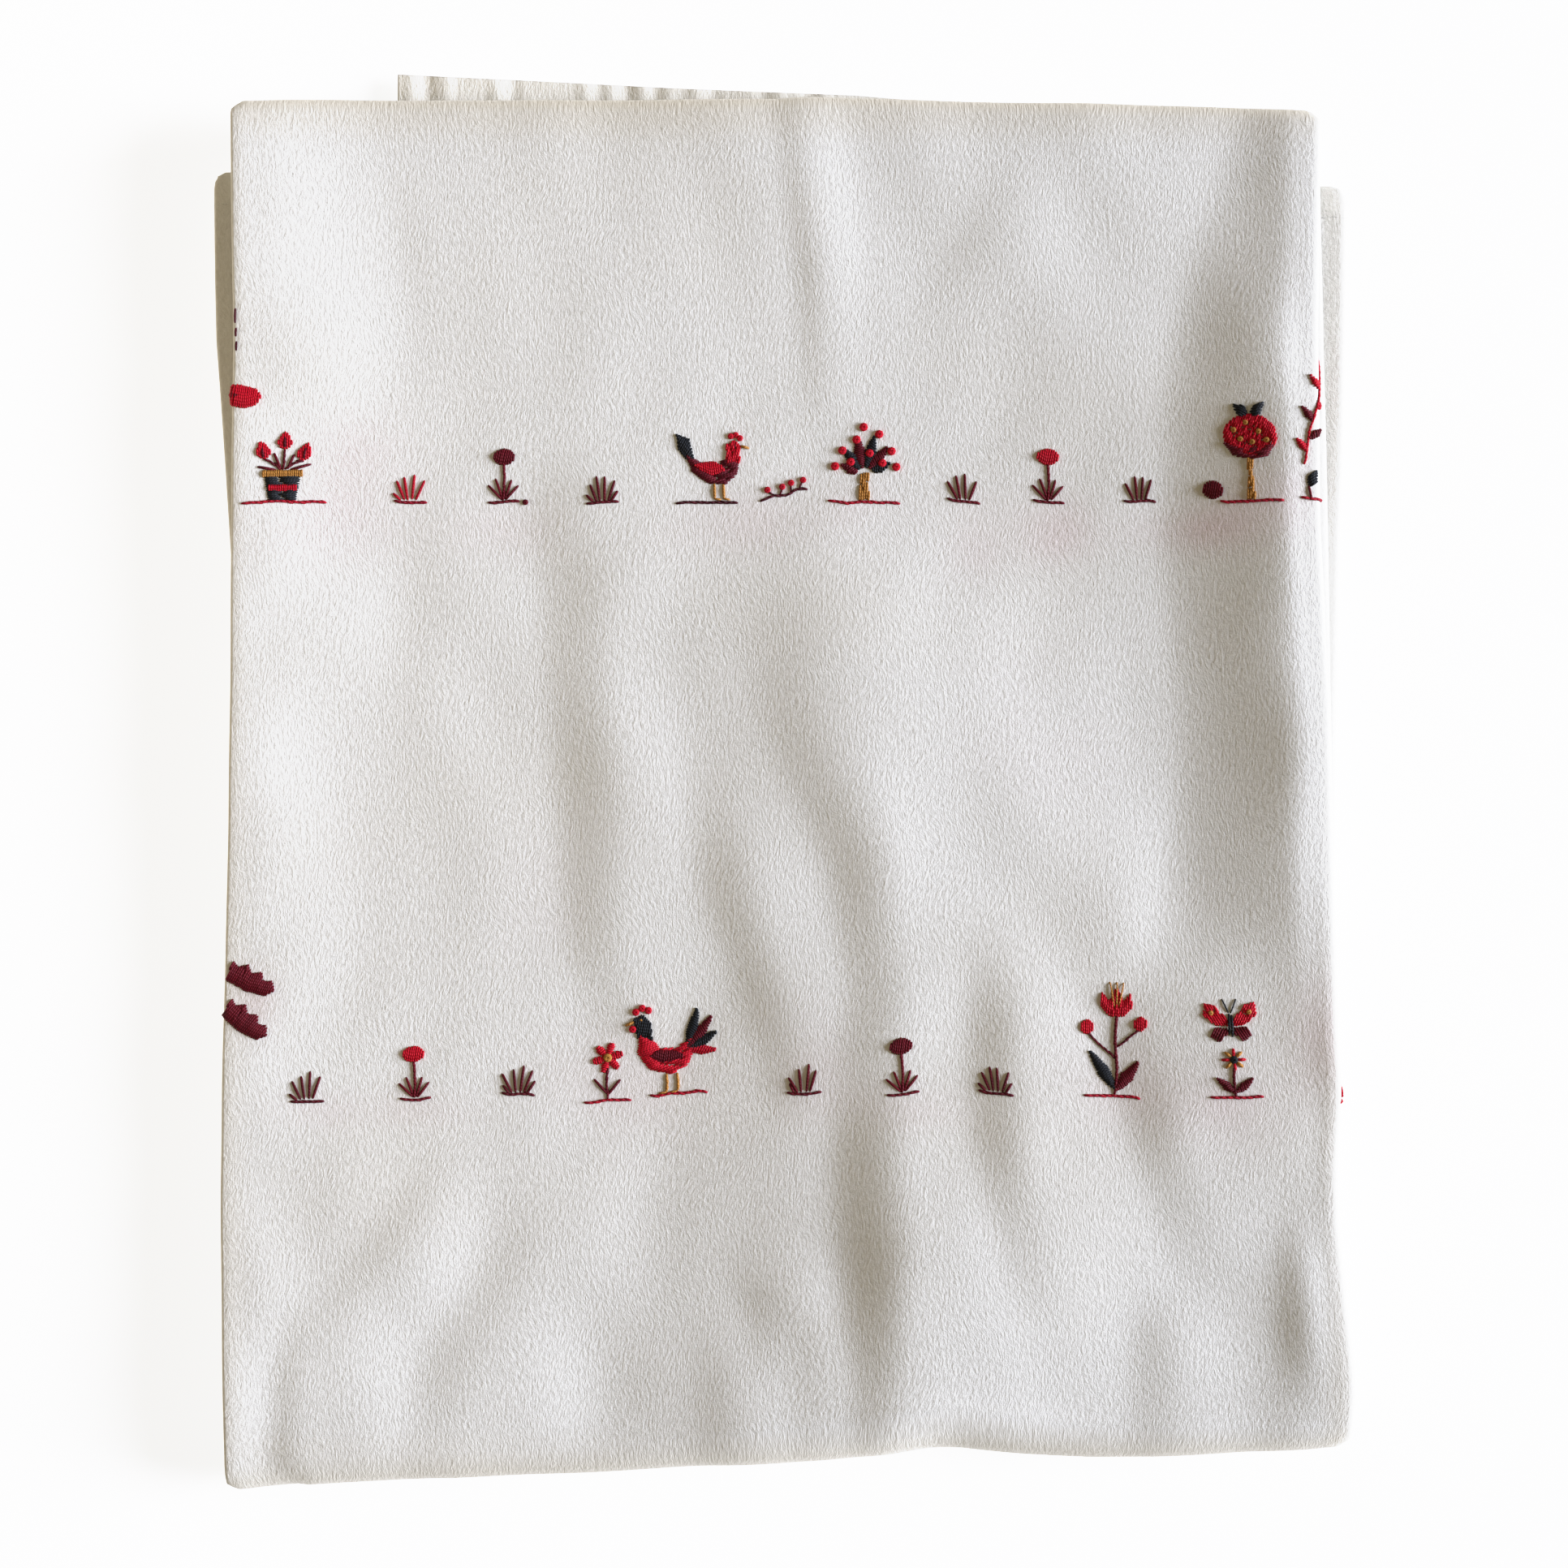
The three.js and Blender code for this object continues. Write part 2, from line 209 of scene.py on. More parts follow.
FAR_AWAY = 1e9

# The slight unevenness of cloth that was pressed once and folded often, as three crossing waves. Each
# has its height and length and its slant, bends on its way, and swells and fades along the cloth.
EVEN = math.inf
UNEVENNESS = 0.3
UNEVEN_WAVES = [
    {"high": 0.34, "long": 21, "slant": 0, "bend": 0.9, "bend_y": 57, "bend_x": EVEN,
     "swell_y": 63, "swell_x": EVEN, "shift": 1.1},
    {"high": 0.22, "long": 13, "slant": 0.55, "bend": 1.7, "bend_y": 41, "bend_x": 90,
     "swell_y": EVEN, "swell_x": EVEN, "shift": math.pi / 2},
    {"high": 0.13, "long": 6.3, "slant": -0.3, "bend": 2.0, "bend_y": 33, "bend_x": EVEN,
     "swell_y": 24, "swell_x": 37, "shift": 0},
]
RELIEF_END = HALF_WIDTH - 3
RELIEF_FADE = 13
HEM_WIDTH = 14.0
FLAP_RISE = 0.8  # the flap's hem stands up a little behind the bundle, in a slow wave
FLAP_WAVE = {"high": 0.6, "long": 23, "shift": 1}


# The columns of a folded line's stations: where each is along the line, its level, the two parts of
# the way its face looks, and its run, with a share of the turn that it is in.
PLACE, LEVEL, LOOK_ALONG, LOOK_UP, RUN = range(5)


def run_places(run):
    """Places along a straight run, closer together towards its two ends."""
    length = abs(run["end"] - run["start"])
    way = math.copysign(1, run["end"] - run["start"])
    ends = np.arange(0, run["zone"], run["near"])
    count = max(2, round((length - 2 * run["zone"]) / run["step"]) + 1)
    middle = np.linspace(run["zone"], length - run["zone"], count)
    return run["start"] + way * np.concatenate([ends, middle, length - ends[::-1]])


def folded_line(runs, side):
    """Stations of a back-and-forth line, with the turns between its runs."""
    stations = []
    for index, run in enumerate(runs):
        way = math.copysign(1, run["end"] - run["start"])
        places = run_places(run).tolist()
        if index == 0:
            places.insert(1, run["start"] + way * EDGE_BAND)
        if index + 1 == len(runs):
            places.insert(-1, run["end"] - way * EDGE_BAND)
        stations += [(place, run["level"], 0, side * way, index) for place in places]
        if index + 1 == len(runs):
            break
        middle = (run["level"] + runs[index + 1]["level"]) / 2
        rise = run["level"] - middle
        for step in range(1, TURN_STEPS):
            angle = math.pi * step / TURN_STEPS
            along = run["end"] + way * abs(rise) * math.sin(angle)
            level = middle + rise * math.cos(angle)
            normal = (side * math.copysign(1, rise) * math.sin(angle), side * way * math.cos(angle))
            stations.append((along, level, *normal, index + step / TURN_STEPS))
    return np.array(stations, dtype=float)


def smooth_step(t):
    """Eases from 0 to 1."""
    s = np.clip(t, 0, 1)
    return s * s * (3 - 2 * s)


def soft_table(pairs, at, reach=7.0):
    """Reads a table of pairs between its rows, with its corners rounded over a reach."""
    keys, values = zip(*pairs)
    near = [np.interp(at + reach * offset, keys, values) for offset in (-1, -0.5, 0, 0.5, 1)]
    return sum(near) / len(near)


def steady_climb(t):
    """Rises slowly at first and then evenly up to the crest."""
    climb = np.clip(t, 0, 1)
    return SLOW_SHARE * smooth_step(climb) + (1 - SLOW_SHARE) * climb**CLIMB_POWER


def fold_lift(x, y):
    """How far the folds at the two sides lift the top of the bundle."""
    row = {key: soft_table([(r["y"], r[key]) for r in FOLD_LIFTS], y, LIFT_REACH) for key in FOLD_LIFTS[0]}
    left = row["left"] * steady_climb((-x - row["left_from"]) / (LEFT_CREST - row["left_from"]))
    right = row["right"] * steady_climb((x - row["right_from"]) / (row["crest"] - row["right_from"]))
    fall = 1 - CREST_FALL * smooth_step((x - row["crest"]) / (CREST_END - row["crest"]))
    wave = sum(w["high"] * np.sin(y / w["long"] + w["shift"]) for w in FOLD_WAVES)
    at_fold = smooth_step((np.abs(x) - WAVES_FROM) / WAVES_REACH)
    return left + right * fall + wave * at_fold


def crease_height(x, y):
    """The height that the creases give the front at places on it."""
    total = np.zeros_like(x)
    for ridge in CREASES.values():
        nearest = np.full_like(x, FAR_AWAY)
        share = np.zeros_like(x)
        for start, end in zip(ridge, ridge[1:]):
            dx, dy = end[0] - start[0], end[1] - start[1]
            t = np.clip(((x - start[0]) * dx + (y - start[1]) * dy) / (dx * dx + dy * dy), 0, 1)
            away = np.hypot(x - start[0] - t * dx, y - start[1] - t * dy)
            high, left, right = (start[i] + t * (end[i] - start[i]) for i in (2, 3, 4))
            is_right = (x - start[0]) * dy - (y - start[1]) * dx < 0
            slope = np.clip(away / np.where(is_right, right, left), 0, 1)
            closer = away < nearest
            share = np.where(closer, high * (1 - slope**2) ** 2, share)
            nearest = np.where(closer, away, nearest)
        total += share
    return total


def undulation(x, y):
    """The cloth's slight unevenness at places on the front."""
    total = UNEVENNESS
    for wave in UNEVEN_WAVES:
        bend = wave["bend"] * np.sin(y / wave["bend_y"] + x / wave["bend_x"])
        course = np.sin((x + wave["slant"] * y) / wave["long"] + bend)
        swell = np.sin(y / wave["swell_y"] + x / wave["swell_x"] + wave["shift"])
        total = total + wave["high"] * course * swell
    return total


def relief(x, y, inner_x):
    """Creases and unevenness together. They die away at the side folds."""
    fade = smooth_step((RELIEF_END - np.abs(inner_x)) / RELIEF_FADE)
    return fade * (crease_height(x, y) + undulation(x, y))


def lay(x, y, z, run):
    """Moves points of the squarely folded cloth to where they lie in the bundle."""
    across = (x + HALF_WIDTH) / (2 * HALF_WIDTH)
    up = (y + HALF_LENGTH) / (2 * HALF_LENGTH)

    def corner(name, axis):
        return np.interp(run, range(len(LENGTHS)), [place[axis] for place in CORNERS[name]])

    def square(axis):
        bottom = corner("bottom_left", axis) * (1 - across) + corner("bottom_right", axis) * across
        top = corner("top_left", axis) * (1 - across) + corner("top_right", axis) * across
        return bottom * (1 - up) + top * up

    front_share = np.maximum(0, 1 - np.abs(run - FRONT))
    inner_share = np.maximum(0, 1 - run)
    front_out = soft_table(RIGHT_SIDE, y) * across - soft_table(LEFT_SIDE, y) * (1 - across)
    inner_out = soft_table(INNER_RIGHT_SIDE, y) * across - soft_table(INNER_LEFT_SIDE, y) * (1 - across)
    side_out = front_share * front_out + inner_share * inner_out
    end_out = soft_table(TOP_EDGE, x) * up - soft_table(BOTTOM_EDGE, x) * (1 - up)
    at_side = smooth_step((np.abs(x) - HALF_WIDTH + CORNER_REACH) / CORNER_REACH)
    at_end = smooth_step((np.abs(y) - HALF_LENGTH + CORNER_REACH) / CORNER_REACH)
    drawn = CORNER_DRAW * at_side * at_end
    curl = EDGE_CURL * smooth_step((x - HALF_WIDTH + EDGE_CURL_REACH) / EDGE_CURL_REACH) * inner_share
    return (
        square(0) + side_out - np.sign(x) * drawn,
        square(1) + end_out - np.sign(y) * drawn,
        z * (1 + fold_lift(x, y) / STACK) + curl,
    )


columns = folded_line(LAYERS, 1)
rows = folded_line(LENGTHS, -1)


def hem_end(ends):
    """How far the hem reaches past its strip, at each column."""
    runs = columns[:, RUN]
    layer = np.minimum(np.floor(runs).astype(int), len(LAYERS) - 1)
    start = np.array([LAYERS[i]["start"] for i in layer])
    end = np.array([LAYERS[i]["end"] for i in layer])
    across = np.where(runs == layer, (columns[:, PLACE] - start) / (end - start), 1.0)
    return np.interp(layer + across, range(len(ends)), ends)


def cloth_points(skin, above=0.0):
    """Points on one skin of the sheet, 1 for the embroidered face and -1 for the back, as a grid."""
    shape = (len(rows), len(columns))
    offset = skin * (SHEET / 2 + above)
    x = np.broadcast_to(columns[:, PLACE] + offset * columns[:, LOOK_ALONG], shape)
    height = columns[:, LEVEL] + offset * columns[:, LOOK_UP]
    row_along, row_up = rows[:, LOOK_ALONG, None], rows[:, LOOK_UP, None]
    y = rows[:, PLACE, None] + row_along * height
    z = rows[:, LEVEL, None] + row_up * height - FLOOR_DROP
    run = np.broadcast_to(rows[:, RUN, None], shape)
    layer = np.broadcast_to(columns[:, RUN], shape)
    reach = smooth_step((y - HALF_LENGTH + HEM_ZONE) / HEM_ZONE)
    y = y + reach * (run == INNERMOST) * hem_end(INNER_HEM_ENDS)
    y = y + reach * (run == UNDERSIDE) * hem_end(UNDERSIDE_HEM_ENDS)
    px, py, pz = lay(x, y, z, run)
    is_face = (layer == FACE) & (run > FRONT - 1) & (run < FRONT + 1)
    raised = relief(px, py, x) * is_face * (1 - np.abs(run - FRONT))
    py = py + raised * row_along
    pz = pz + raised * row_up
    edge = smooth_step((y - HALF_LENGTH + 2 * HEM_WIDTH) / HEM_WIDTH) * (run == UNDERSIDE) * (layer == FLAP)
    wave = FLAP_WAVE["high"] * np.sin(x / FLAP_WAVE["long"] + FLAP_WAVE["shift"])
    pz = pz + edge * (FLAP_RISE + wave)
    return np.stack([px - SOLID_MIDDLE[0], py - SOLID_MIDDLE[1], pz], axis=-1)


def sheet_faces(row_count, column_count):
    """Quads of both skins, and those of the four closed edges, all facing outwards."""
    index = np.arange(row_count * column_count).reshape(row_count, column_count)
    under = index + row_count * column_count
    back = np.stack([under[:-1, :-1], under[:-1, 1:], under[1:, 1:], under[1:, :-1]], axis=-1)
    front = np.stack([index[:-1, :-1], index[1:, :-1], index[1:, 1:], index[:-1, 1:]], axis=-1)
    ring = np.concatenate([index[0, :-1], index[:-1, -1], index[-1, :0:-1], index[:0:-1, 0]])
    ahead = np.roll(ring, -1)
    below = row_count * column_count
    rim = np.stack([ring, ahead, ahead + below, ring + below], axis=-1)
    return np.concatenate([back.reshape(-1, 4), front.reshape(-1, 4)]), rim


def mesh_object(name, points, faces=(), edges=()):
    """A new object with a mesh of its own, from points in millimetres."""
    mesh = bpy.data.meshes.new(name)
    places = (np.asarray(points).reshape(-1, 3) * MM).tolist()
    mesh.from_pydata(places, [list(edge) for edge in edges], [list(face) for face in faces])
    mesh.validate()
    piece = bpy.data.objects.new(name, mesh)
    bpy.context.scene.collection.objects.link(piece)
    return piece


def set_point_values(mesh, name, values):
    """Keeps one number for each point of a mesh under a name."""
    attribute = mesh.attributes.new(name, "FLOAT", "POINT")
    attribute.data.foreach_set("value", np.ascontiguousarray(values, dtype=np.float32).ravel())


skins = np.stack([cloth_points(1), cloth_points(-1)])
skin_faces, edge_faces = sheet_faces(len(rows), len(columns))
cloth = mesh_object("tablecloth", skins, np.concatenate([skin_faces, edge_faces]))
cloth.data.polygons.foreach_set("use_smooth", [True] * len(skin_faces) + [False] * len(edge_faces))


def unfolded(stations):
    """How far along the flat cloth each station is."""
    steps = np.hypot(np.diff(stations[:, PLACE]), np.diff(stations[:, LEVEL]))
    return np.concatenate([[0], np.cumsum(steps)])


# The flat cloth's own coordinates, in metres, so that the grain follows the cloth round its folds.
flat_u, flat_v = np.meshgrid(unfolded(columns) * MM, unfolded(rows) * MM)
flat_place = np.tile(np.stack([flat_u, flat_v], axis=-1).reshape(-1, 2), (2, 1))
corner_vertices = np.empty(len(cloth.data.loops), dtype=np.int64)
cloth.data.loops.foreach_get("vertex_index", corner_vertices)
cloth.data.uv_layers.new(name="flat cloth").data.foreach_set("uv", flat_place[corner_vertices].ravel())

# Old dye that bled in the wash, in soft patches below the two rows of embroidery and round its motifs.
DYE_PATCHES = [
    {"x": -172, "y": 96, "wide": 26, "high": 16, "strength": 0.5},
    {"x": -160, "y": 122, "wide": 20, "high": 14, "strength": 0.35},
    {"x": -100, "y": 94, "wide": 22, "high": 10, "strength": 0.3},
    {"x": -22, "y": 97, "wide": 26, "high": 12, "strength": 0.5},
    {"x": 34, "y": 99, "wide": 22, "high": 12, "strength": 0.4},
    {"x": 68, "y": 92, "wide": 12, "high": 14, "strength": 0.65},
    {"x": 100, "y": 94, "wide": 14, "high": 12, "strength": 0.7},
    {"x": 152, "y": 94, "wide": 20, "high": 8, "strength": 0.9},
    {"x": 176, "y": 104, "wide": 18, "high": 14, "strength": 0.6},
    {"x": -196, "y": -80, "wide": 8, "high": 12, "strength": 0.6},
    {"x": -176, "y": -122, "wide": 16, "high": 7, "strength": 0.55},
    {"x": -134, "y": -121, "wide": 18, "high": 7, "strength": 0.4},
    {"x": -48, "y": -112, "wide": 34, "high": 18, "strength": 0.5},
    {"x": 8, "y": -100, "wide": 14, "high": 20, "strength": 0.35},
    {"x": 44, "y": -118, "wide": 24, "high": 9, "strength": 0.4},
    {"x": 122, "y": -106, "wide": 20, "high": 20, "strength": 0.5},
    {"x": 166, "y": -118, "wide": 22, "high": 16, "strength": 0.6},
    {"x": 196, "y": -96, "wide": 10, "high": 26, "strength": 0.55},
    {"x": -90, "y": -40, "wide": 16, "high": 20, "strength": 0.18},
    {"x": 96, "y": 20, "wide": 30, "high": 26, "strength": 0.15},
]
place_x = skins[..., 0] + SOLID_MIDDLE[0]
place_y = skins[..., 1] + SOLID_MIDDLE[1]
dye = np.zeros_like(place_x)
for patch in DYE_PATCHES:
    away = ((place_x - patch["x"]) / patch["wide"]) ** 2 + ((place_y - patch["y"]) / patch["high"]) ** 2
    dye += patch["strength"] * np.exp(-away)
set_point_values(cloth.data, "dye", np.clip(dye, 0, 1))

# The folds are a little yellowed and worn, because the cloth lay folded the same way for years.
# The stronger yellowing along the top edge and on the turns of the left fold is painted shade.
WORN_SIDES = {"share": 0.6, "from": 196, "reach": 9}
WORN_AND_SHADED_TOP = {"share": 1.0, "from": 230, "reach": 18}
WORN_BOTTOM = {"share": 0.4, "from": 238, "reach": 16}
WORN_AND_SHADED_TURNS = {"share": 0.9, "sharpness": 4}


def band_depth(band, places):
    """How far into a band each place is: 0 where the band starts, and 1 where it is full."""
    return (places - band["from"]) / band["reach"]


def turn_mask(stations):
    """1 at the stations of the turns, and 0 on the straight runs."""
    runs = stations[:, RUN]
    return np.clip(WORN_AND_SHADED_TURNS["sharpness"] * np.abs(runs - np.round(runs)), 0, 1)


at_sides = WORN_SIDES["share"] * np.clip(band_depth(WORN_SIDES, np.abs(skins[..., 0])), 0, 1)
# Painted shade in part: the top edge is yellowed more strongly than the bottom.
at_top = WORN_AND_SHADED_TOP["share"] * smooth_step(band_depth(WORN_AND_SHADED_TOP, skins[..., 1]))
at_bottom = WORN_BOTTOM["share"] * smooth_step(band_depth(WORN_BOTTOM, -skins[..., 1]))
# Painted shade: of the side folds, only the turns of the left one, away from the light, are yellowed.
shaded_left_turn = turn_mask(columns) * (columns[:, PLACE] < 0)
turned = WORN_AND_SHADED_TURNS["share"] * np.maximum(shaded_left_turn[None, :], turn_mask(rows)[:, None])
set_point_values(cloth.data, "fold_wear_and_shade", np.maximum(at_sides, at_top + at_bottom) + turned)

# The turned hems at the two ends, which their sewing draws into small puckers. Less of it shows at the
# inner end.
INNER_HEM_SHARE = 0.3
HEM_START = 3
hem_share = np.maximum(INNER_HEM_SHARE * (rows[:, RUN] == INNERMOST), rows[:, RUN] == UNDERSIDE)
hem_along = hem_share * smooth_step((rows[:, PLACE] - HALF_LENGTH + HEM_WIDTH) / HEM_START)
set_point_values(cloth.data, "hem", np.tile(np.repeat(hem_along, len(columns)), 2))


def new_material(name):
    """A new material, with its node tree and its shader."""
    material = bpy.data.materials.new(name)
    material.use_nodes = True
    tree = material.node_tree
    return material, tree, tree.nodes["Principled BSDF"]


def add_node(tree, kind, **settings):
    """A node with its settings. A setting that is an input's name sets that input."""
    node = tree.nodes.new(kind)
    for key, value in settings.items():
        if hasattr(node, key):
            setattr(node, key, value)
        else:
            node.inputs[key.replace("_", " ")].default_value = value
    return node


def noise_on(tree, source, scales, detail=2.0, roughness=0.5):
    """Noise that is stretched to so many grains a metre across and along the cloth."""
    stretch = add_node(tree, "ShaderNodeMapping")
    stretch.inputs["Scale"].default_value = scales
    grain = add_node(tree, "ShaderNodeTexNoise", Scale=1.0, Detail=detail, Roughness=roughness)
    tree.links.new(source, stretch.inputs["Vector"])
    tree.links.new(stretch.outputs["Vector"], grain.inputs["Vector"])
    return grain.outputs["Fac"]


def mixed(tree, factor, low, high, blend="MIX"):
    """One colour mixed with another. Each of the three may be a value or a socket."""
    mix = add_node(tree, "ShaderNodeMix", data_type="RGBA", blend_type=blend)
    for name, value in (("Factor_Float", factor), ("A_Color", low), ("B_Color", high)):
        socket = next(s for s in mix.inputs if s.identifier == name)
        if isinstance(value, bpy.types.NodeSocket):
            tree.links.new(value, socket)
        else:
            socket.default_value = value
    return next(s for s in mix.outputs if s.identifier == "Result_Color")


def maths(tree, operation, first, second=0.0):
    """One sum on two values. Each of the two may be a number or a socket."""
    node = add_node(tree, "ShaderNodeMath", operation=operation)
    for socket, value in zip(node.inputs, (first, second)):
        if isinstance(value, bpy.types.NodeSocket):
            tree.links.new(value, socket)
        else:
            socket.default_value = value
    return node.outputs["Value"]


def ranged(tree, value, low, high, to_low=0.0, to_high=1.0):
    """Brings a value from one range into another."""
    node = add_node(tree, "ShaderNodeMapRange")
    for name, number in (("From Min", low), ("From Max", high), ("To Min", to_low), ("To Max", to_high)):
        node.inputs[name].default_value = number
    tree.links.new(value, node.inputs["Value"])
    return node.outputs["Result"]


def bumped(tree, height, distance, strength=1.0, below=None):
    """Raises the surface by a height. Each bump lies on the one below it."""
    bump = add_node(tree, "ShaderNodeBump", Strength=strength, Distance=distance)
    tree.links.new(height, bump.inputs["Height"])
    if below is not None:
        tree.links.new(below, bump.inputs["Normal"])
    return bump.outputs["Normal"]


def set_finish(shader, finish):
    """Sets the shader's own sockets from a table."""
    for socket, value in finish.items():
        shader.inputs[socket].default_value = value


CLOTH_WHITE = (0.75, 0.745, 0.715, 1)
CLOTH_GREY = (0.59, 0.58, 0.545, 1)
YELLOW_WEAR_AND_SHADE = (0.60, 0.545, 0.43, 1)
DYE_PINK = (0.60, 0.44, 0.45, 1)
# Painted light and shade: the hems get a flat cream of their own, paler and yellower than the cloth they
# are turned from.
HEM_PAINTED_CREAM = (0.79, 0.765, 0.69, 1)
CLOTH_FINISH = {
    "Roughness": 0.93,
    "Specular IOR Level": 0.2,
    "Sheen Weight": 0.18,
    "Sheen Roughness": 0.55,
}

# The grains of the surface: how many there are in a metre across and along the cloth, how fine their
# detail is, and how rough. The crinkle and the slubs lean to and fro with a slow bend.
BEND = {"scales": (26, 26, 1), "detail": 1.0}
BEND_PUSH = 0.012
CRINKLE = {"scales": (820, 360, 1), "detail": 4.0, "roughness": 0.62}
SLUB = {"scales": (1500, 620, 1), "detail": 3.0, "roughness": 0.6}
NAP = {"scales": (2600, 2600, 1), "roughness": 0.6}
CROSS_SLUB = {"scales": (160, 1300, 1)}
PATCHES = {"scales": (17, 17, 1)}
WARMTH = {"scales": (6, 7, 1)}
PUCKER = {"scales": (120, 22, 1), "detail": 0.0}
WEAVE = {"Scale": 500 / math.pi, "Distortion": 1.6, "Detail_Scale": 1.2}

# How the grains tint the cloth: greyer where the crinkle and the slubs lie low, partly the yarn's own tone
# and partly painted shade in their hollows. A range has the noise's low and high, and what they become.
CRINKLE_TONE = 0.62
TONE_RANGE = (0.34, 0.62)
WARM_RANGE = (0.5, 0.75, 0.0, 0.16)
DYE_RANGE = (0.36, 0.62, 0.12, 0.55)
FOLD_YELLOW_AND_SHADE = 0.42
HEM_STEP = 0.08
PUCKER_HEIGHT = 3.6

material, tree, shader = new_material("washed cotton and linen")
flat = add_node(tree, "ShaderNodeUVMap", uv_map="flat cloth").outputs["UV"]
bend = noise_on(tree, flat, **BEND)
lean_push = add_node(tree, "ShaderNodeCombineXYZ")
push = maths(tree, "MULTIPLY", maths(tree, "SUBTRACT", bend, 0.5), BEND_PUSH)
tree.links.new(push, lean_push.inputs["X"])
lean = add_node(tree, "ShaderNodeVectorMath", operation="ADD")
tree.links.new(lean_push.outputs["Vector"], lean.inputs[0])
tree.links.new(flat, lean.inputs[1])
crinkle = noise_on(tree, lean.outputs["Vector"], **CRINKLE)
slub = noise_on(tree, lean.outputs["Vector"], **SLUB)
warp = add_node(tree, "ShaderNodeTexWave", bands_direction="X", **WEAVE)
weft = add_node(tree, "ShaderNodeTexWave", bands_direction="Y", **WEAVE)
for wave in (warp, weft):
    tree.links.new(flat, wave.inputs["Vector"])
weave = maths(tree, "MAXIMUM", warp.outputs["Fac"], weft.outputs["Fac"])

# Partly painted shade: the cloth turns grey where the crinkle and slub bumps are low.
crinkle_tone = maths(tree, "MULTIPLY", crinkle, CRINKLE_TONE)
tone = maths(tree, "ADD", crinkle_tone, maths(tree, "MULTIPLY", slub, 1 - CRINKLE_TONE))
grain_tone_and_hollow_shade = mixed(tree, ranged(tree, tone, *TONE_RANGE), CLOTH_GREY, CLOTH_WHITE)
fold_wear_and_shade = add_node(tree, "ShaderNodeAttribute", attribute_name="fold_wear_and_shade").outputs["Fac"]
warm_patches = ranged(tree, noise_on(tree, flat, **WARMTH), *WARM_RANGE)
# This yellowing is partly painted shade along the top edge and the left fold; the rest is wear and random
# warm patches.
yellow_and_shade = maths(tree, "ADD", maths(tree, "MULTIPLY", fold_wear_and_shade, FOLD_YELLOW_AND_SHADE), warm_patches)
yellowed_and_shaded = mixed(tree, yellow_and_shade, grain_tone_and_hollow_shade, YELLOW_WEAR_AND_SHADE)
dye_here = add_node(tree, "ShaderNodeAttribute", attribute_name="dye").outputs["Fac"]
patchy = ranged(tree, noise_on(tree, flat, **PATCHES), *DYE_RANGE)
dyed = mixed(tree, maths(tree, "MULTIPLY", dye_here, patchy), yellowed_and_shaded, DYE_PINK)
hem = add_node(tree, "ShaderNodeAttribute", attribute_name="hem").outputs["Fac"]
# Painted light and shade: the hems take a flat cream instead of the cloth's own colour.
tree.links.new(mixed(tree, hem, dyed, HEM_PAINTED_CREAM), shader.inputs["Base Color"])

# The bumps, one on the other: the hem's puckers, the crinkle, the slubs, the weave and the nap.
pucker = maths(tree, "MULTIPLY", noise_on(tree, flat, **PUCKER), hem)
hem_height = maths(tree, "ADD", pucker, maths(tree, "MULTIPLY", hem, HEM_STEP))
normal = bumped(tree, hem_height, PUCKER_HEIGHT * MM)
for layer in (
    {"grain": crinkle, "high": 0.5, "strength": 0.75},
    {"grain": slub, "high": 0.3, "strength": 0.7},
    {"grain": noise_on(tree, flat, **CROSS_SLUB), "high": 0.1, "strength": 0.4},
    {"grain": weave, "high": 0.02, "strength": 0.5},
    {"grain": noise_on(tree, flat, **NAP), "high": 0.16, "strength": 0.7},
):
    normal = bumped(tree, layer["grain"], layer["high"] * MM, layer["strength"], normal)
tree.links.new(normal, shader.inputs["Normal"])
set_finish(shader, CLOTH_FINISH)
cloth.data.materials.append(material)

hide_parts("cloth")
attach(cloth, "root")

# THE HEM SEWING
# The two end hems are turned to the back twice and held with a row of small white stitches. The thread
# is sewing cotton; each stitch is laid on the cloth and made round by the thread tree.
STITCH_PITCH = 3.4
STITCH_LENGTH = 2.3
STITCH_DEPTH = HEM_WIDTH - 1.5
STITCH_STRAY = 0.25
STITCH_FULLNESS = (0.6, 1.0, 0.6)
STITCH_TINT = 0.6
SEWING_PALE = (0.72, 0.71, 0.67, 1)
SEWING_DEEP = (0.6, 0.58, 0.52, 1)
SEWING_SHEEN = 0.1
SEWING_START = 3
SEWING_ABOVE = 0.05
SEWING_RADIUS = 0.17
SEWING_SIDES = 5
HEM_ROWS = 8


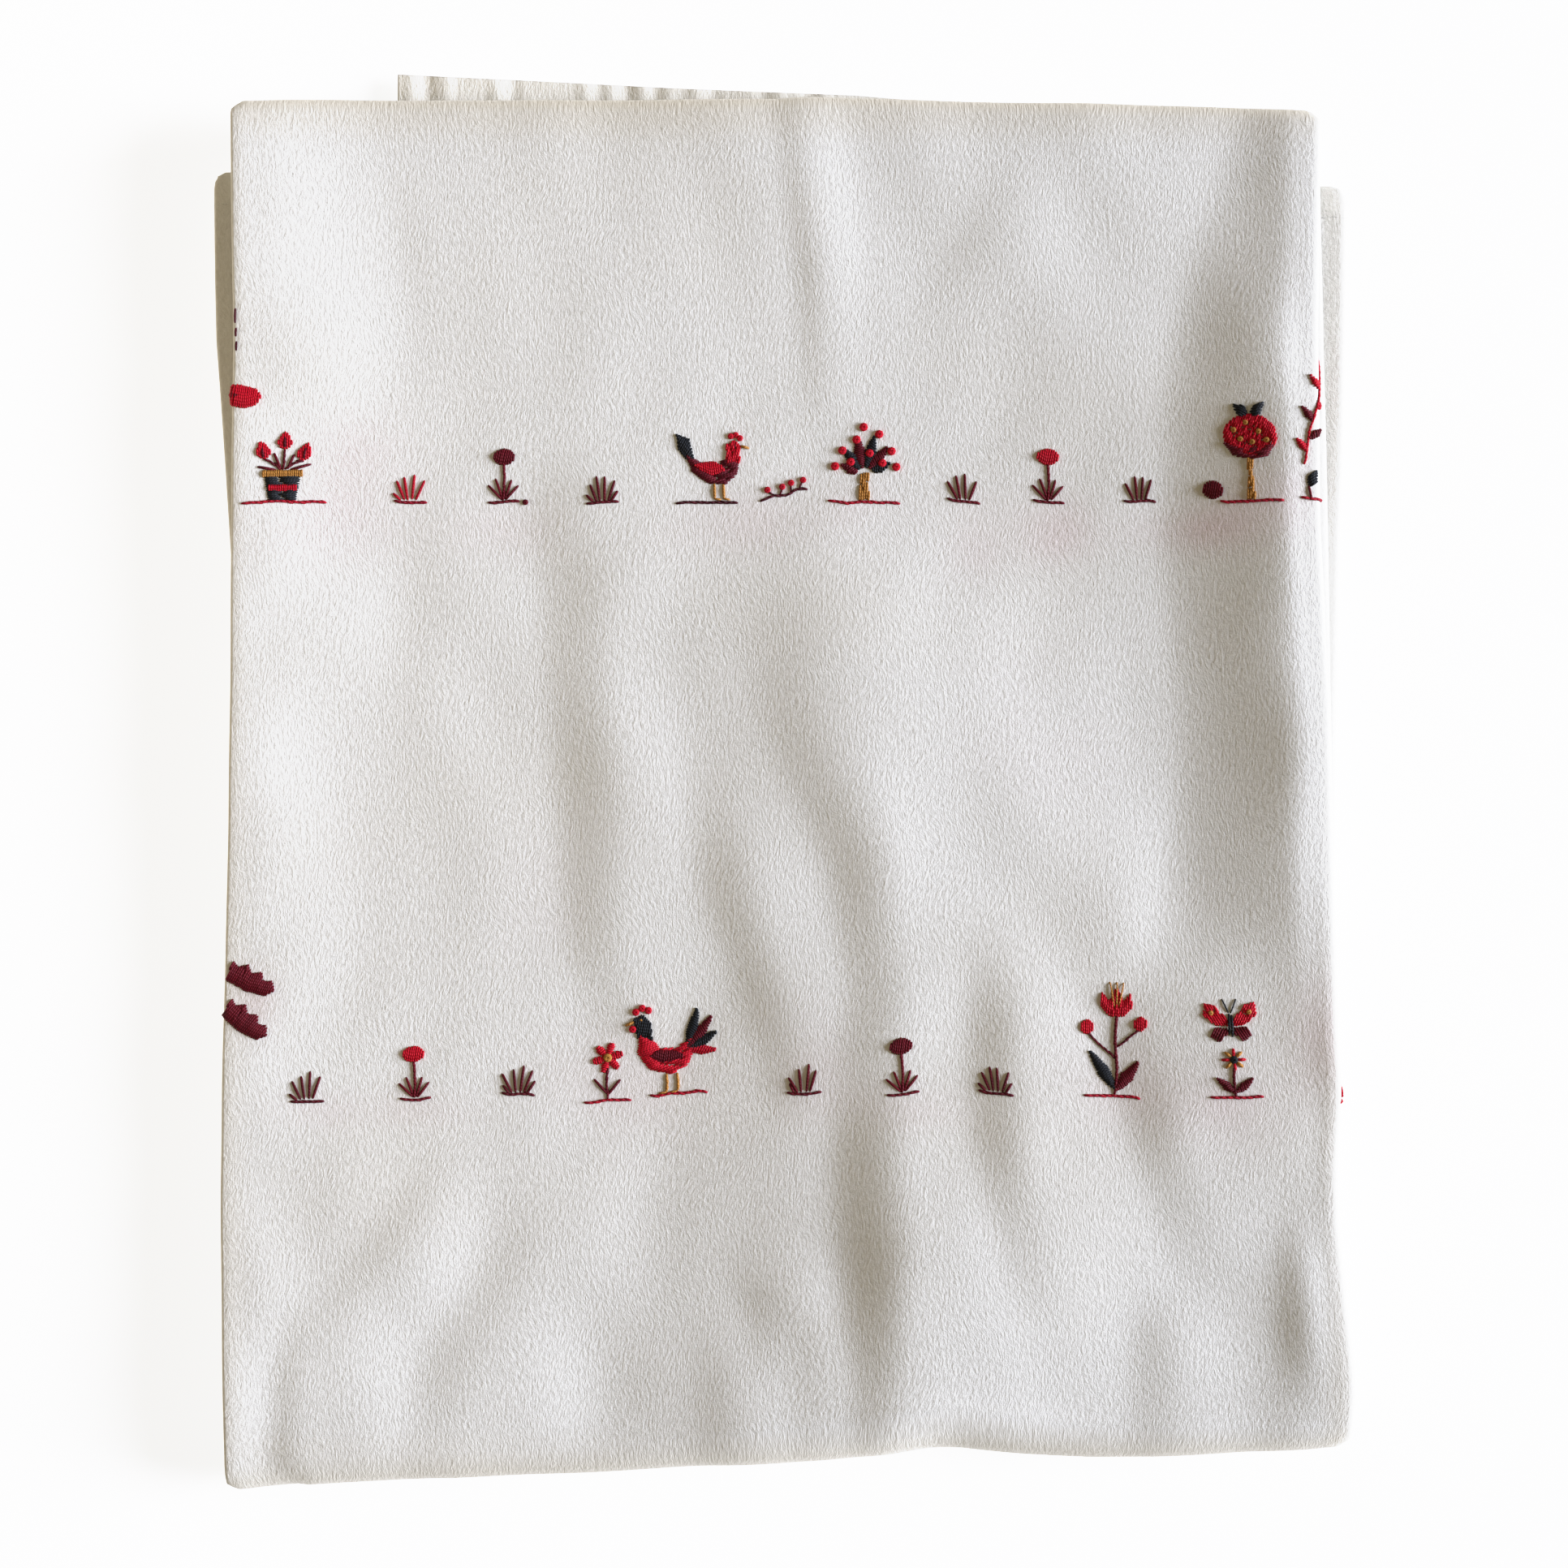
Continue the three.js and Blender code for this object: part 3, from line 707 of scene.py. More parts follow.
def thread_tree():
    """Turns polylines into round threads with tapered ends. The points say how full the thread is."""
    tree = bpy.data.node_groups.new("laid thread", "GeometryNodeTree")
    for name, kind in (
        ("Geometry", "NodeSocketGeometry"),
        ("Thread radius", "NodeSocketFloat"),
        ("Sides", "NodeSocketInt"),
        ("Thread", "NodeSocketMaterial"),
    ):
        tree.interface.new_socket(name, in_out="INPUT", socket_type=kind)
    tree.interface.new_socket("Geometry", in_out="OUTPUT", socket_type="NodeSocketGeometry")
    kinds = {
        "given": "NodeGroupInput",
        "lines": "GeometryNodeMeshToCurve",
        "full": "GeometryNodeInputNamedAttribute",
        "radius": "ShaderNodeMath",
        "length": "GeometryNodeSplineParameter",
        "along": "GeometryNodeStoreNamedAttribute",
        "profile": "GeometryNodeCurvePrimitiveCircle",
        "turn": "GeometryNodeSplineParameter",
        "around": "GeometryNodeStoreNamedAttribute",
        "tube": "GeometryNodeCurveToMesh",
        "smooth": "GeometryNodeSetShadeSmooth",
        "real": "GeometryNodeRealizeInstances",
        "painted": "GeometryNodeSetMaterial",
        "made": "NodeGroupOutput",
    }
    nodes = {name: tree.nodes.new(kind) for name, kind in kinds.items()}
    nodes["full"].data_type = "FLOAT"
    nodes["full"].inputs["Name"].default_value = "fullness"
    nodes["radius"].operation = "MULTIPLY"
    nodes["profile"].inputs["Radius"].default_value = 1.0
    for name, attribute in (("along", "along_thread"), ("around", "around_thread")):
        nodes[name].data_type = "FLOAT"
        nodes[name].domain = "POINT"
        nodes[name].inputs["Name"].default_value = attribute
    nodes["tube"].inputs["Fill Caps"].default_value = True
    for giver, output, taker, socket in (
        ("given", "Geometry", "lines", "Mesh"),
        ("lines", "Curve", "along", "Geometry"),
        ("full", "Attribute", "radius", 0),
        ("given", "Thread radius", "radius", 1),
        ("radius", "Value", "tube", "Scale"),
        ("length", "Length", "along", "Value"),
        ("given", "Sides", "profile", "Resolution"),
        ("profile", "Curve", "around", "Geometry"),
        ("turn", "Factor", "around", "Value"),
        ("along", "Geometry", "tube", "Curve"),
        ("around", "Geometry", "tube", "Profile Curve"),
        ("tube", "Mesh", "smooth", "Geometry"),
        ("smooth", "Geometry", "real", "Geometry"),
        ("real", "Geometry", "painted", "Geometry"),
        ("given", "Thread", "painted", "Material"),
        ("painted", "Geometry", "made", "Geometry"),
    ):
        tree.links.new(nodes[giver].outputs[output], nodes[taker].inputs[socket])
    return tree


laid_thread = thread_tree()


def make_threads(name, stitches, radius, sides, material):
    """One piece from many stitches. A stitch is its points, how full it is at each, and its tint."""
    points = np.concatenate([stitch["points"] for stitch in stitches])
    counts = [len(stitch["points"]) for stitch in stitches]
    starts = np.concatenate([[0], np.cumsum(counts)])
    edges = [(start + i, start + i + 1) for start, count in zip(starts, counts) for i in range(count - 1)]
    lines = mesh_object(name + "_lines", points, edges=edges)
    set_point_values(lines.data, "fullness", np.concatenate([stitch["fullness"] for stitch in stitches]))
    set_point_values(lines.data, "tint", np.repeat([stitch["tint"] for stitch in stitches], counts))
    modifier = lines.modifiers.new("laid thread", "NODES")
    modifier.node_group = laid_thread
    values = {"Thread radius": radius * MM, "Sides": sides, "Thread": material}
    for item in laid_thread.interface.items_tree:
        if item.in_out == "INPUT" and item.name in values:
            modifier[item.identifier] = values[item.name]
    evaluated = lines.evaluated_get(bpy.context.evaluated_depsgraph_get())
    mesh = bpy.data.meshes.new_from_object(evaluated)
    mesh.name = name
    bpy.data.objects.remove(lines)
    piece = bpy.data.objects.new(name, mesh)
    bpy.context.scene.collection.objects.link(piece)
    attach(piece, "root")
    return piece


# Each thread is twisted of two plies, so many turns to a metre, and painted shade darkens the grooves
# between them.
PLY_TWIST = 900.0
PLIES = 2.0
PLY_HEIGHT = 0.16
PLY_STRENGTH = 0.8
PLY_SHADE = (0.55, 0.55, 0.55, 1)
UNSHADED = (1, 1, 1, 1)
TINT_GRAIN = (420, 420, 420)
TINT_SPREAD = 0.7


def thread_material(name, pale, deep, sheen):
    """Twisted cotton: the tint runs between two colours, and the plies show as slanting ridges."""
    material, tree, shader = new_material(name)
    tint = add_node(tree, "ShaderNodeAttribute", attribute_name="tint").outputs["Fac"]
    along = add_node(tree, "ShaderNodeAttribute", attribute_name="along_thread").outputs["Fac"]
    around = add_node(tree, "ShaderNodeAttribute", attribute_name="around_thread").outputs["Fac"]
    place = add_node(tree, "ShaderNodeTexCoord").outputs["Object"]
    uneven = maths(tree, "SUBTRACT", noise_on(tree, place, TINT_GRAIN), 0.5)
    shade = maths(tree, "ADD", tint, maths(tree, "MULTIPLY", uneven, TINT_SPREAD))
    turns_along = maths(tree, "MULTIPLY", along, PLY_TWIST)
    twist = maths(tree, "ADD", turns_along, maths(tree, "MULTIPLY", around, PLIES))
    ply = maths(tree, "ABSOLUTE", maths(tree, "SINE", maths(tree, "MULTIPLY", twist, math.pi)))
    # Painted shade: the thread's colour is darkened in the grooves between the plies.
    ply_groove_shade = mixed(tree, ranged(tree, ply, 0.0, 0.5), PLY_SHADE, UNSHADED)
    strand_colour = mixed(tree, shade, pale, deep)
    tree.links.new(mixed(tree, 1.0, strand_colour, ply_groove_shade, "MULTIPLY"), shader.inputs["Base Color"])
    tree.links.new(bumped(tree, ply, PLY_HEIGHT * MM, PLY_STRENGTH), shader.inputs["Normal"])
    set_finish(shader, {"Roughness": 0.62, "Specular IOR Level": 0.18, "Sheen Weight": sheen})
    return material


def on_hem(grid, distance, place, depth):
    """The place on the cloth at so much along a hem and so deep from its edge."""
    line = np.array([[np.interp(place, column_reach, row[:, axis]) for axis in range(3)] for row in grid])
    return np.array([np.interp(depth, distance, line[:, axis]) for axis in range(3)])


sewing_cotton = thread_material("white sewing cotton", SEWING_PALE, SEWING_DEEP, SEWING_SHEEN)
chance = random.Random(11)
hem_stitches = []
column_reach = unfolded(columns)
for end_row in (0, len(rows) - 1):
    lengths = np.abs(rows[:, PLACE] - rows[end_row, PLACE])
    beside = [index for index in range(len(rows)) if rows[index, RUN] == rows[end_row, RUN]]
    order = np.argsort(lengths[beside])[:HEM_ROWS]
    grid = cloth_points(1, above=SEWING_ABOVE)[beside][order]
    distance = lengths[beside][order]
    for middle in np.arange(SEWING_START, column_reach[-1] - SEWING_START, STITCH_PITCH):
        depth = STITCH_DEPTH + chance.uniform(-STITCH_STRAY, STITCH_STRAY)
        places = (middle - STITCH_LENGTH / 2, middle, middle + STITCH_LENGTH / 2)
        points = [on_hem(grid, distance, place, depth) for place in places]
        tint = chance.uniform(0, STITCH_TINT)
        hem_stitches.append({"points": points, "fullness": STITCH_FULLNESS, "tint": tint})
hem_sewing = make_threads("hem_sewing", hem_stitches, SEWING_RADIUS, SEWING_SIDES, sewing_cotton)

# THE EMBROIDERY
# Two rows of small plants and birds, worked by hand in stranded cotton that shades from red to maroon,
# with black and ochre. Filled shapes are satin stitch, lines are stem stitch and dots are knots.
STRAND_RADIUS = 0.56
STRAND_SIDES = 6
THREAD_SHARES = (0.0, 0.12, 0.5, 0.88, 1.0)
THREAD_FULLNESS = np.array([0.5, 0.86, 1.0, 0.86, 0.5])
THREAD_END = -0.35  # how far above the cloth a stitch's ends are: they go down into it
THREAD_SHOULDER = 0.55
NEEDLE_STRAY = 0.12
TINT_STRAY = 0.12
SATIN_RADIUS = 0.5
SATIN_PITCH = 0.74
SATIN_LONGEST = 9.0
SATIN_SHORTEST = 0.5
SATIN_BREAKS = (0.45, 0.8)
STEM_STITCH = 3.6
STEM_STEP = 0.62
STEM_SIDE = 0.22
GROUND_STEP = 4
GROUND_SWAY = 0.55
RED_GROUND_TINT = 0.5
LEAF_SLANT = 62
KNOT_RADIUS = 0.46
KNOT_POINTS = 13
KNOT_TURN = 8
KNOT_FOOT = 0.2
KNOT_CLIMB = 0.55
KNOT_FULLNESS = np.array([0.5] + [0.9] * (KNOT_POINTS - 2) + [0.4])
MOTIF_SCALES = (0.97, 1.03)
MOTIF_TURN = 2.5
SETTLING_ROUNDS = 4
threads = {"red": [], "maroon": [], "black": [], "ochre": []}
chance = random.Random(4)


def face_points(s, y, above):
    """Points on the front's embroidered face. s is measured across the cloth and runs round the folds."""
    left_radius, right_radius = 0.5 * PITCH, 1.5 * PITCH
    left_angle = np.clip((LEFT_END - s) / (left_radius + SHEET / 2), 0, math.pi)
    right_angle = np.clip((s - RIGHT_END) / (right_radius + SHEET / 2), 0, math.pi)
    angle = left_angle + right_angle
    radius = np.where(s < 0, left_radius, right_radius)
    way = np.where(s < 0, -1.0, 1.0)
    along = np.clip(s, LEFT_END, RIGHT_END) + way * radius * np.sin(angle)
    level = 1.5 * PITCH - radius + radius * np.cos(angle)
    offset = SHEET / 2 + above
    x = along + offset * (way * np.sin(angle))
    height = level + offset * np.cos(angle)
    run = np.full_like(s, FRONT)
    px, py, pz = lay(x, y, LENGTHS[FRONT]["level"] + height - FLOOR_DROP, run)
    pz = pz + relief(px, py, x)
    return np.stack([px - SOLID_MIDDLE[0], py - SOLID_MIDDLE[1], pz], axis=-1)


def square_place(x, y):
    """The place on the squarely folded cloth that comes to lie at x and y."""
    s, t = float(x), float(y)
    for _ in range(SETTLING_ROUNDS):
        px, py, _z = lay(np.array([s]), np.array([t]), np.array([STACK]), np.array([float(FRONT)]))
        s += float(x - px[0])
        t += float(y - py[0])
    return s, t


class Motif:
    """A place on the cloth that shapes are worked at, a little turned as handwork is."""

    def __init__(self, x, y):
        self.s, self.y = square_place(x, y)
        self.scale = chance.uniform(*MOTIF_SCALES)
        self.turn = math.radians(chance.uniform(-MOTIF_TURN, MOTIF_TURN))

    def on_cloth(self, points, above):
        """Points of the motif, each so much above the cloth, where they lie on it."""
        x, y = (np.array(axis, dtype=float) * self.scale for axis in zip(*points))
        turned_x = x * math.cos(self.turn) - y * math.sin(self.turn)
        turned_y = x * math.sin(self.turn) + y * math.cos(self.turn)
        return face_points(self.s + turned_x, self.y + turned_y, np.asarray(above, dtype=float))


def straight(motif, colour, start, end, tint, full=1.0, raised=0.42):
    """One straight stitch: it comes up at one end, lies on the cloth and goes down at the other."""
    stray = [chance.uniform(-NEEDLE_STRAY, NEEDLE_STRAY) for _ in range(4)]
    start = (start[0] + stray[0], start[1] + stray[1])
    end = (end[0] + stray[2], end[1] + stray[3])
    points = [tuple(a + share * (b - a) for a, b in zip(start, end)) for share in THREAD_SHARES]
    shoulder = THREAD_SHOULDER * raised
    above = [THREAD_END, shoulder, raised, shoulder, THREAD_END]
    shade = tint + chance.uniform(-TINT_STRAY, TINT_STRAY)
    laid = motif.on_cloth(points, above)
    threads[colour].append({"points": laid, "fullness": THREAD_FULLNESS * full, "tint": shade})


def stem(motif, colour, points, tint, full=1.0):
    """A line of stem stitch: short slanting stitches, each beginning beside the middle of the last."""
    path = np.array(points, dtype=float)
    steps = np.hypot(*np.diff(path, axis=0).T)
    reach = np.concatenate([[0], np.cumsum(steps)])
    count = max(1, round(reach[-1] / (STEM_STITCH * STEM_STEP)))
    for index in range(count):
        start = index * reach[-1] / count
        end = min(reach[-1], start + STEM_STITCH)
        here = [np.interp(start, reach, path[:, axis]) for axis in range(2)]
        there = [np.interp(end, reach, path[:, axis]) for axis in range(2)]
        dx, dy = there[0] - here[0], there[1] - here[1]
        length = math.hypot(dx, dy) or 1
        side = (-STEM_SIDE * dy / length, STEM_SIDE * dx / length)
        begin = (here[0] + side[0], here[1] + side[1])
        finish = (there[0] - side[0], there[1] - side[1])
        straight(motif, colour, begin, finish, tint, full)


def satin(motif, colour, outline, tint, slant=90.0, raised=0.5):
    """Fills an outline with stitches side by side. Long ones are broken, each row in another place."""
    turn = math.radians(slant)
    c, s = math.cos(turn), math.sin(turn)
    turned = [(x * c + y * s, y * c - x * s) for x, y in outline]
    low = min(v for _, v in turned)
    high = max(v for _, v in turned)
    count = max(1, int((high - low) / SATIN_PITCH))
    for index in range(count):
        v = low + (index + 0.5) * (high - low) / count
        crossings = sorted(
            u0 + (v - v0) * (u1 - u0) / (v1 - v0)
            for (u0, v0), (u1, v1) in zip(turned, turned[1:] + turned[:1])
            if (v0 > v) != (v1 > v)
        )
        for begin, finish in zip(crossings[::2], crossings[1::2]):
            breaks = [begin]
            while finish - breaks[-1] > SATIN_LONGEST:
                breaks.append(breaks[-1] + SATIN_LONGEST * chance.uniform(*SATIN_BREAKS))
            breaks.append(finish)
            for u0, u1 in zip(breaks, breaks[1:]):
                if u1 - u0 < SATIN_SHORTEST:
                    continue
                start = (u0 * c - v * s, u0 * s + v * c)
                end = (u1 * c - v * s, u1 * s + v * c)
                straight(motif, colour, start, end, tint, SATIN_RADIUS / STRAND_RADIUS, raised)


def oval(x, y, wide, high, tilt=0.0, count=18):
    """The outline of an oval round a place."""
    turn = math.radians(tilt)
    outline = []
    for index in range(count):
        angle = 2 * math.pi * index / count
        across, up = wide * math.cos(angle), high * math.sin(angle)
        turned_x = x + across * math.cos(turn) - up * math.sin(turn)
        turned_y = y + across * math.sin(turn) + up * math.cos(turn)
        outline.append((turned_x, turned_y))
    return outline


def leaf_outline(base, tip, width, belly=0.45):
    """A pointed leaf between two points, widest at its belly."""
    dx, dy = tip[0] - base[0], tip[1] - base[1]
    length = math.hypot(dx, dy)
    side_x, side_y = -dy / length * width / 2, dx / length * width / 2
    shares = (0.0, 0.15, belly, 0.8, 1.0)
    widths = (0.0, 0.62, 1.0, 0.5, 0.0)
    middle = [(base[0] + t * dx, base[1] + t * dy) for t in shares]
    one = [(x + w * side_x, y + w * side_y) for (x, y), w in zip(middle, widths)]
    other = [(x - w * side_x, y - w * side_y) for (x, y), w in zip(middle, widths)]
    return one + other[-2:0:-1]


def leaf(motif, colour, base, tip, width, tint):
    """A satin leaf whose stitches slant across it."""
    slant = math.degrees(math.atan2(tip[1] - base[1], tip[0] - base[0])) + LEAF_SLANT
    satin(motif, colour, leaf_outline(base, tip, width), tint, slant)


def knot(motif, colour, place, tint, size=1.0):
    """A French knot: one and a half turns of thread wound into a bead."""
    turns = [2 * math.pi * index / KNOT_TURN for index in range(KNOT_POINTS)]
    points = [
        (place[0] + KNOT_RADIUS * size * math.cos(turn), place[1] + KNOT_RADIUS * size * math.sin(turn))
        for turn in turns
    ]
    above = [KNOT_FOOT + KNOT_CLIMB * index / (KNOT_POINTS - 1) for index in range(KNOT_POINTS)]
    laid = motif.on_cloth(points, above)
    threads[colour].append({"points": laid, "fullness": KNOT_FULLNESS * size, "tint": tint})


def ground_line(motif, colour, left, right, tint, y=0.0):
    """The wavy line that a motif stands on."""
    count = max(2, round((right - left) / GROUND_STEP))
    points = []
    for index in range(count + 1):
        sway = chance.uniform(-GROUND_SWAY, GROUND_SWAY)
        points.append((left + (right - left) * index / count, y + sway))
    deeper = RED_GROUND_TINT if colour == "red" else 0
    stem(motif, colour, points, tint + deeper, full=0.95)


# The grass tufts and the lollipop flowers of both rows, in their places from left to right.
TUFTS = [
    {"x": -138.3, "y": 104.4, "colour": "red", "tint": 0.45},
    {"x": -67.2, "y": 103.8, "colour": "maroon", "tint": 0.4},
    {"x": 66.0, "y": 104.4, "colour": "maroon", "tint": 0.25},
    {"x": 131.0, "y": 104.1, "colour": "maroon", "tint": 0.4},
    {"x": -176.4, "y": -117.0, "colour": "maroon", "tint": 0.5},
    {"x": -98.4, "y": -114.6, "colour": "maroon", "tint": 0.5},
    {"x": 7.2, "y": -114.0, "colour": "maroon", "tint": 0.35},
    {"x": 77.7, "y": -113.4, "colour": "maroon", "tint": 0.45},
]
TUFT_BLADES = [
    {"foot": -2.0, "tip": -5.4, "tall": 7.0},
    {"foot": -0.8, "tip": -1.9, "tall": 9.4},
    {"foot": 0.9, "tip": 1.4, "tall": 10.2},
    {"foot": 2.2, "tip": 5.2, "tall": 8.4},
    {"foot": -3.4, "tip": -5.8, "tall": 3.6},
    {"foot": 3.4, "tip": 6.6, "tall": 4.4},
]
BLADE_COUNTS = (4, 5, 6)
BLADE_SWAY = 0.8
FLOWERS = [
    {"x": -103.8, "y": 104.4, "head": "maroon", "stem": "maroon", "tint": 0.2, "tall": 16.4},
    {"x": 97.5, "y": 104.1, "head": "red", "stem": "maroon", "tint": 0.15, "tall": 16.6},
    {"x": -136.5, "y": -116.4, "head": "red", "stem": "maroon", "tint": 0.0, "tall": 16.8},
    {"x": 43.5, "y": -113.7, "head": "maroon", "stem": "maroon", "tint": 0.15, "tall": 17.4},
]
FLOWER_BLADES = [
    {"foot": -0.4, "tip": -5.8, "tall": 6.2},
    {"foot": -0.2, "tip": -3.0, "tall": 8.6},
    {"foot": 0.6, "tip": 3.0, "tall": 8.2},
    {"foot": 0.9, "tip": 5.6, "tall": 6.0},
]
for row in TUFTS:
    motif = Motif(row["x"], row["y"])
    ground_line(motif, row["colour"], left=-6, right=6.4, tint=row["tint"])
    for blade in TUFT_BLADES[: chance.choice(BLADE_COUNTS)]:
        tip_x = blade["tip"] + chance.uniform(-BLADE_SWAY, BLADE_SWAY)
        tip_y = blade["tall"] + chance.uniform(-BLADE_SWAY, BLADE_SWAY)
        straight(motif, row["colour"], (blade["foot"], 0.4), (tip_x, tip_y), row["tint"])
for row in FLOWERS:
    motif = Motif(row["x"], row["y"])
    stalk = [(0, 0.4), (0.4, row["tall"] * 0.4), (0.1, row["tall"] - 2.4)]
    ground_line(motif, row["stem"], left=-5.6, right=6.0, tint=row["tint"])
    stem(motif, row["stem"], stalk, row["tint"], full=0.92)
    for blade in FLOWER_BLADES:
        tip = (blade["tip"], blade["tall"])
        straight(motif, row["stem"], (blade["foot"], 0.6), tip, row["tint"], full=0.95)
    head = oval(0.1, row["tall"], wide=4.0, high=3.2, tilt=8)
    satin(motif, row["head"], head, row["tint"], slant=78, raised=0.75)
knot(Motif(-95.6, 104.1), "maroon", (0, 0), 0.3, size=1.2)

# A pot of three tulips at the left end of the upper row.
POT = [(-5.6, 0.2), (4.6, 0.2), (6.2, 8.6), (-7.0, 8.6)]
POT_RIM = [(-7.6, 8.4), (6.8, 8.4), (6.8, 10.8), (-7.6, 10.8)]
POT_BAND = [(-5.0, 3.4), (4.4, 3.4), (4.8, 5.6), (-5.4, 5.6)]
POT_TULIPS = [
    {"x": -7.2, "y": 17.0, "lean": -16},
    {"x": 0.2, "y": 20.4, "lean": 2},
    {"x": 7.0, "y": 16.4, "lean": 18},
]
POT_LEAVES = [
    ((-2.4, 10.8), (-9.6, 12.2)),
    ((2.2, 10.8), (9.8, 12.8)),
    ((-1.0, 11.0), (-3.6, 17.0)),
    ((1.2, 11.0), (3.6, 16.4)),
]
motif = Motif(-184.5, 104.4)
ground_line(motif, "red", left=-15, right=15.5, tint=0.1, y=-0.6)
satin(motif, "black", POT, 0.2, slant=0)
satin(motif, "ochre", POT_RIM, 0.3, raised=0.7)
satin(motif, "red", POT_BAND, 0.1, raised=0.85)
for tulip in POT_TULIPS:
    x, y, lean = tulip["x"], tulip["y"], tulip["lean"]
    cup = leaf_outline((x - 0.04 * lean, y - 2.8), (x + 0.09 * lean, y + 4.4), width=5.4, belly=0.4)
    stem(motif, "maroon", [(0.1 * x - 0.3, 10.8), (0.6 * x, 13.8), (x, y - 2.4)], 0.4, full=0.85)
    satin(motif, "red", cup, 0.05)
    straight(motif, "maroon", (x, y - 2.0), (x + 0.05 * lean, y + 2.4), 0.5, full=0.8, raised=0.9)
for foot, tip in POT_LEAVES:
    straight(motif, "maroon", foot, tip, 0.3)

# A blossom that goes round the left fold, with its dark stem above it.
BLOSSOM = [(-4.4, -3.0), (2.0, -4.6), (6.6, -3.6), (8.6, -0.4), (6.8, 2.6), (1.6, 4.2), (-4.2, 4.6)]
BLOSSOM_STEM = [(16.0, 19.4), (21.0, 24.0), (25.6, 31.0)]
motif = Motif(-201.0, 142.6)
satin(motif, "red", BLOSSOM, 0.0, slant=82, raised=0.8)
satin(motif, "maroon", leaf_outline((0.4, 0.2), (-4.8, 1.0), width=3.4), 0.3, slant=80, raised=1.0)
for low, high in BLOSSOM_STEM:
    straight(motif, "maroon", (-0.5, low), (-0.2, high), 0.8, full=0.8)

# A hen in the middle of the upper row.
HEN_BODY = [
    (-10.6, 17.8), (-8.0, 11.0), (-2.0, 6.6), (5.0, 6.2), (9.4, 10.0),
    (9.8, 15.4), (7.6, 17.2), (2.0, 14.2), (-3.4, 14.0),
]
HEN_NECK = [(4.6, 12.6), (9.8, 13.8), (10.2, 20.6), (7.8, 22.8), (4.8, 21.0)]
HEN_TAIL = [(-10.2, 15.4), (-7.2, 15.8), (-9.0, 23.6), (-14.0, 25.0), (-13.2, 19.0)]
HEN_COMB = [(6.4, 24.0), (8.2, 24.4), (9.8, 23.2)]
HEN_LEGS = [0.6, 4.0]
motif = Motif(-26.5, 104.4)
ground_line(motif, "maroon", left=-13.5, right=9.6, tint=0.85, y=-0.4)
satin(motif, "maroon", HEN_BODY, 0.35, slant=14)
satin(motif, "red", HEN_NECK, 0.05, slant=78, raised=0.7)
hen_wing = leaf_outline((4.4, 11.2), (-7.0, 13.6), width=5.8, belly=0.4)
satin(motif, "red", hen_wing, 0.05, slant=100, raised=1.0)
satin(motif, "black", HEN_TAIL, 0.3, slant=62)
for place in HEN_COMB:
    knot(motif, "red", place, 0.1, size=1.3)
straight(motif, "ochre", (10.2, 20.4), (13.2, 19.4), 0.2, raised=0.7)
knot(motif, "black", (8.0, 20.4), 0.1, size=0.75)
for x in HEN_LEGS:
    straight(motif, "ochre", (x, 6.6), (x + 0.3, 0.6), 0.3, full=0.95)
    straight(motif, "ochre", (x + 0.2, 0.9), (x + 2.6, 0.4), 0.3, full=0.8)

# A sprig of berries beside the hen.
SPRIG = [(-7.6, 0.0), (-3.0, 2.4), (1.6, 1.4), (6.2, 4.2), (9.6, 3.6)]
SPRIG_BERRIES = [(-5.0, 4.2), (0.4, 5.0), (3.6, 6.2), (8.0, 7.0)]
SPRIG_STALKS = [
    ((-3.0, 2.4), (-4.8, 3.6)),
    ((-0.4, 2.2), (0.4, 4.4)),
    ((3.4, 2.6), (3.6, 5.4)),
    ((6.6, 4.2), (7.8, 6.4)),
]
motif = Motif(-1.0, 104.6)
stem(motif, "maroon", SPRIG, 0.7, full=0.9)
for place in SPRIG_BERRIES:
    knot(motif, "red", place, 0.2, size=1.35)
for foot, tip in SPRIG_STALKS:
    straight(motif, "maroon", foot, tip, 0.6, full=0.7)

# A round berry bush, with six fat leaves above its trunk.
BUSH_TRUNK = [(-2.0, 0.2), (2.2, 0.2), (1.3, 10.6), (-1.2, 10.6)]
BUSH_LEAVES = [
    {"angle": -72, "long": 10, "wide": 4.4, "colour": "maroon"},
    {"angle": -44, "long": 12.6, "wide": 4.8, "colour": "black"},
    {"angle": -16, "long": 14.4, "wide": 5.0, "colour": "maroon"},
    {"angle": 12, "long": 14.2, "wide": 5.0, "colour": "black"},
    {"angle": 40, "long": 12.8, "wide": 4.8, "colour": "maroon"},
    {"angle": 68, "long": 10.4, "wide": 4.4, "colour": "black"},
]
BUSH_BERRIES = [
    (-8.6, 18.6), (-3.6, 22.6), (1.4, 17.6), (4.6, 24.6), (9.4, 18.4),
    (-1.2, 27.2), (-11.0, 12.8), (11.4, 12.6), (6.2, 14.0), (-5.4, 14.4),
]
motif = Motif(29.4, 104.4)
ground_line(motif, "red", left=-13, right=13.2, tint=0.2, y=-0.5)
satin(motif, "ochre", BUSH_TRUNK, 0.4, slant=88)
for row in BUSH_LEAVES:
    across, up = math.sin(math.radians(row["angle"])), math.cos(math.radians(row["angle"]))
    base = (2.6 * across, 10.2 + 2.0 * up)
    tip = (row["long"] * across * 0.95, 10.4 + row["long"] * up)
    leaf(motif, row["colour"], base, tip, row["wide"], 0.35)
for place in BUSH_BERRIES:
    knot(motif, "red", place, 0.0, size=1.75)

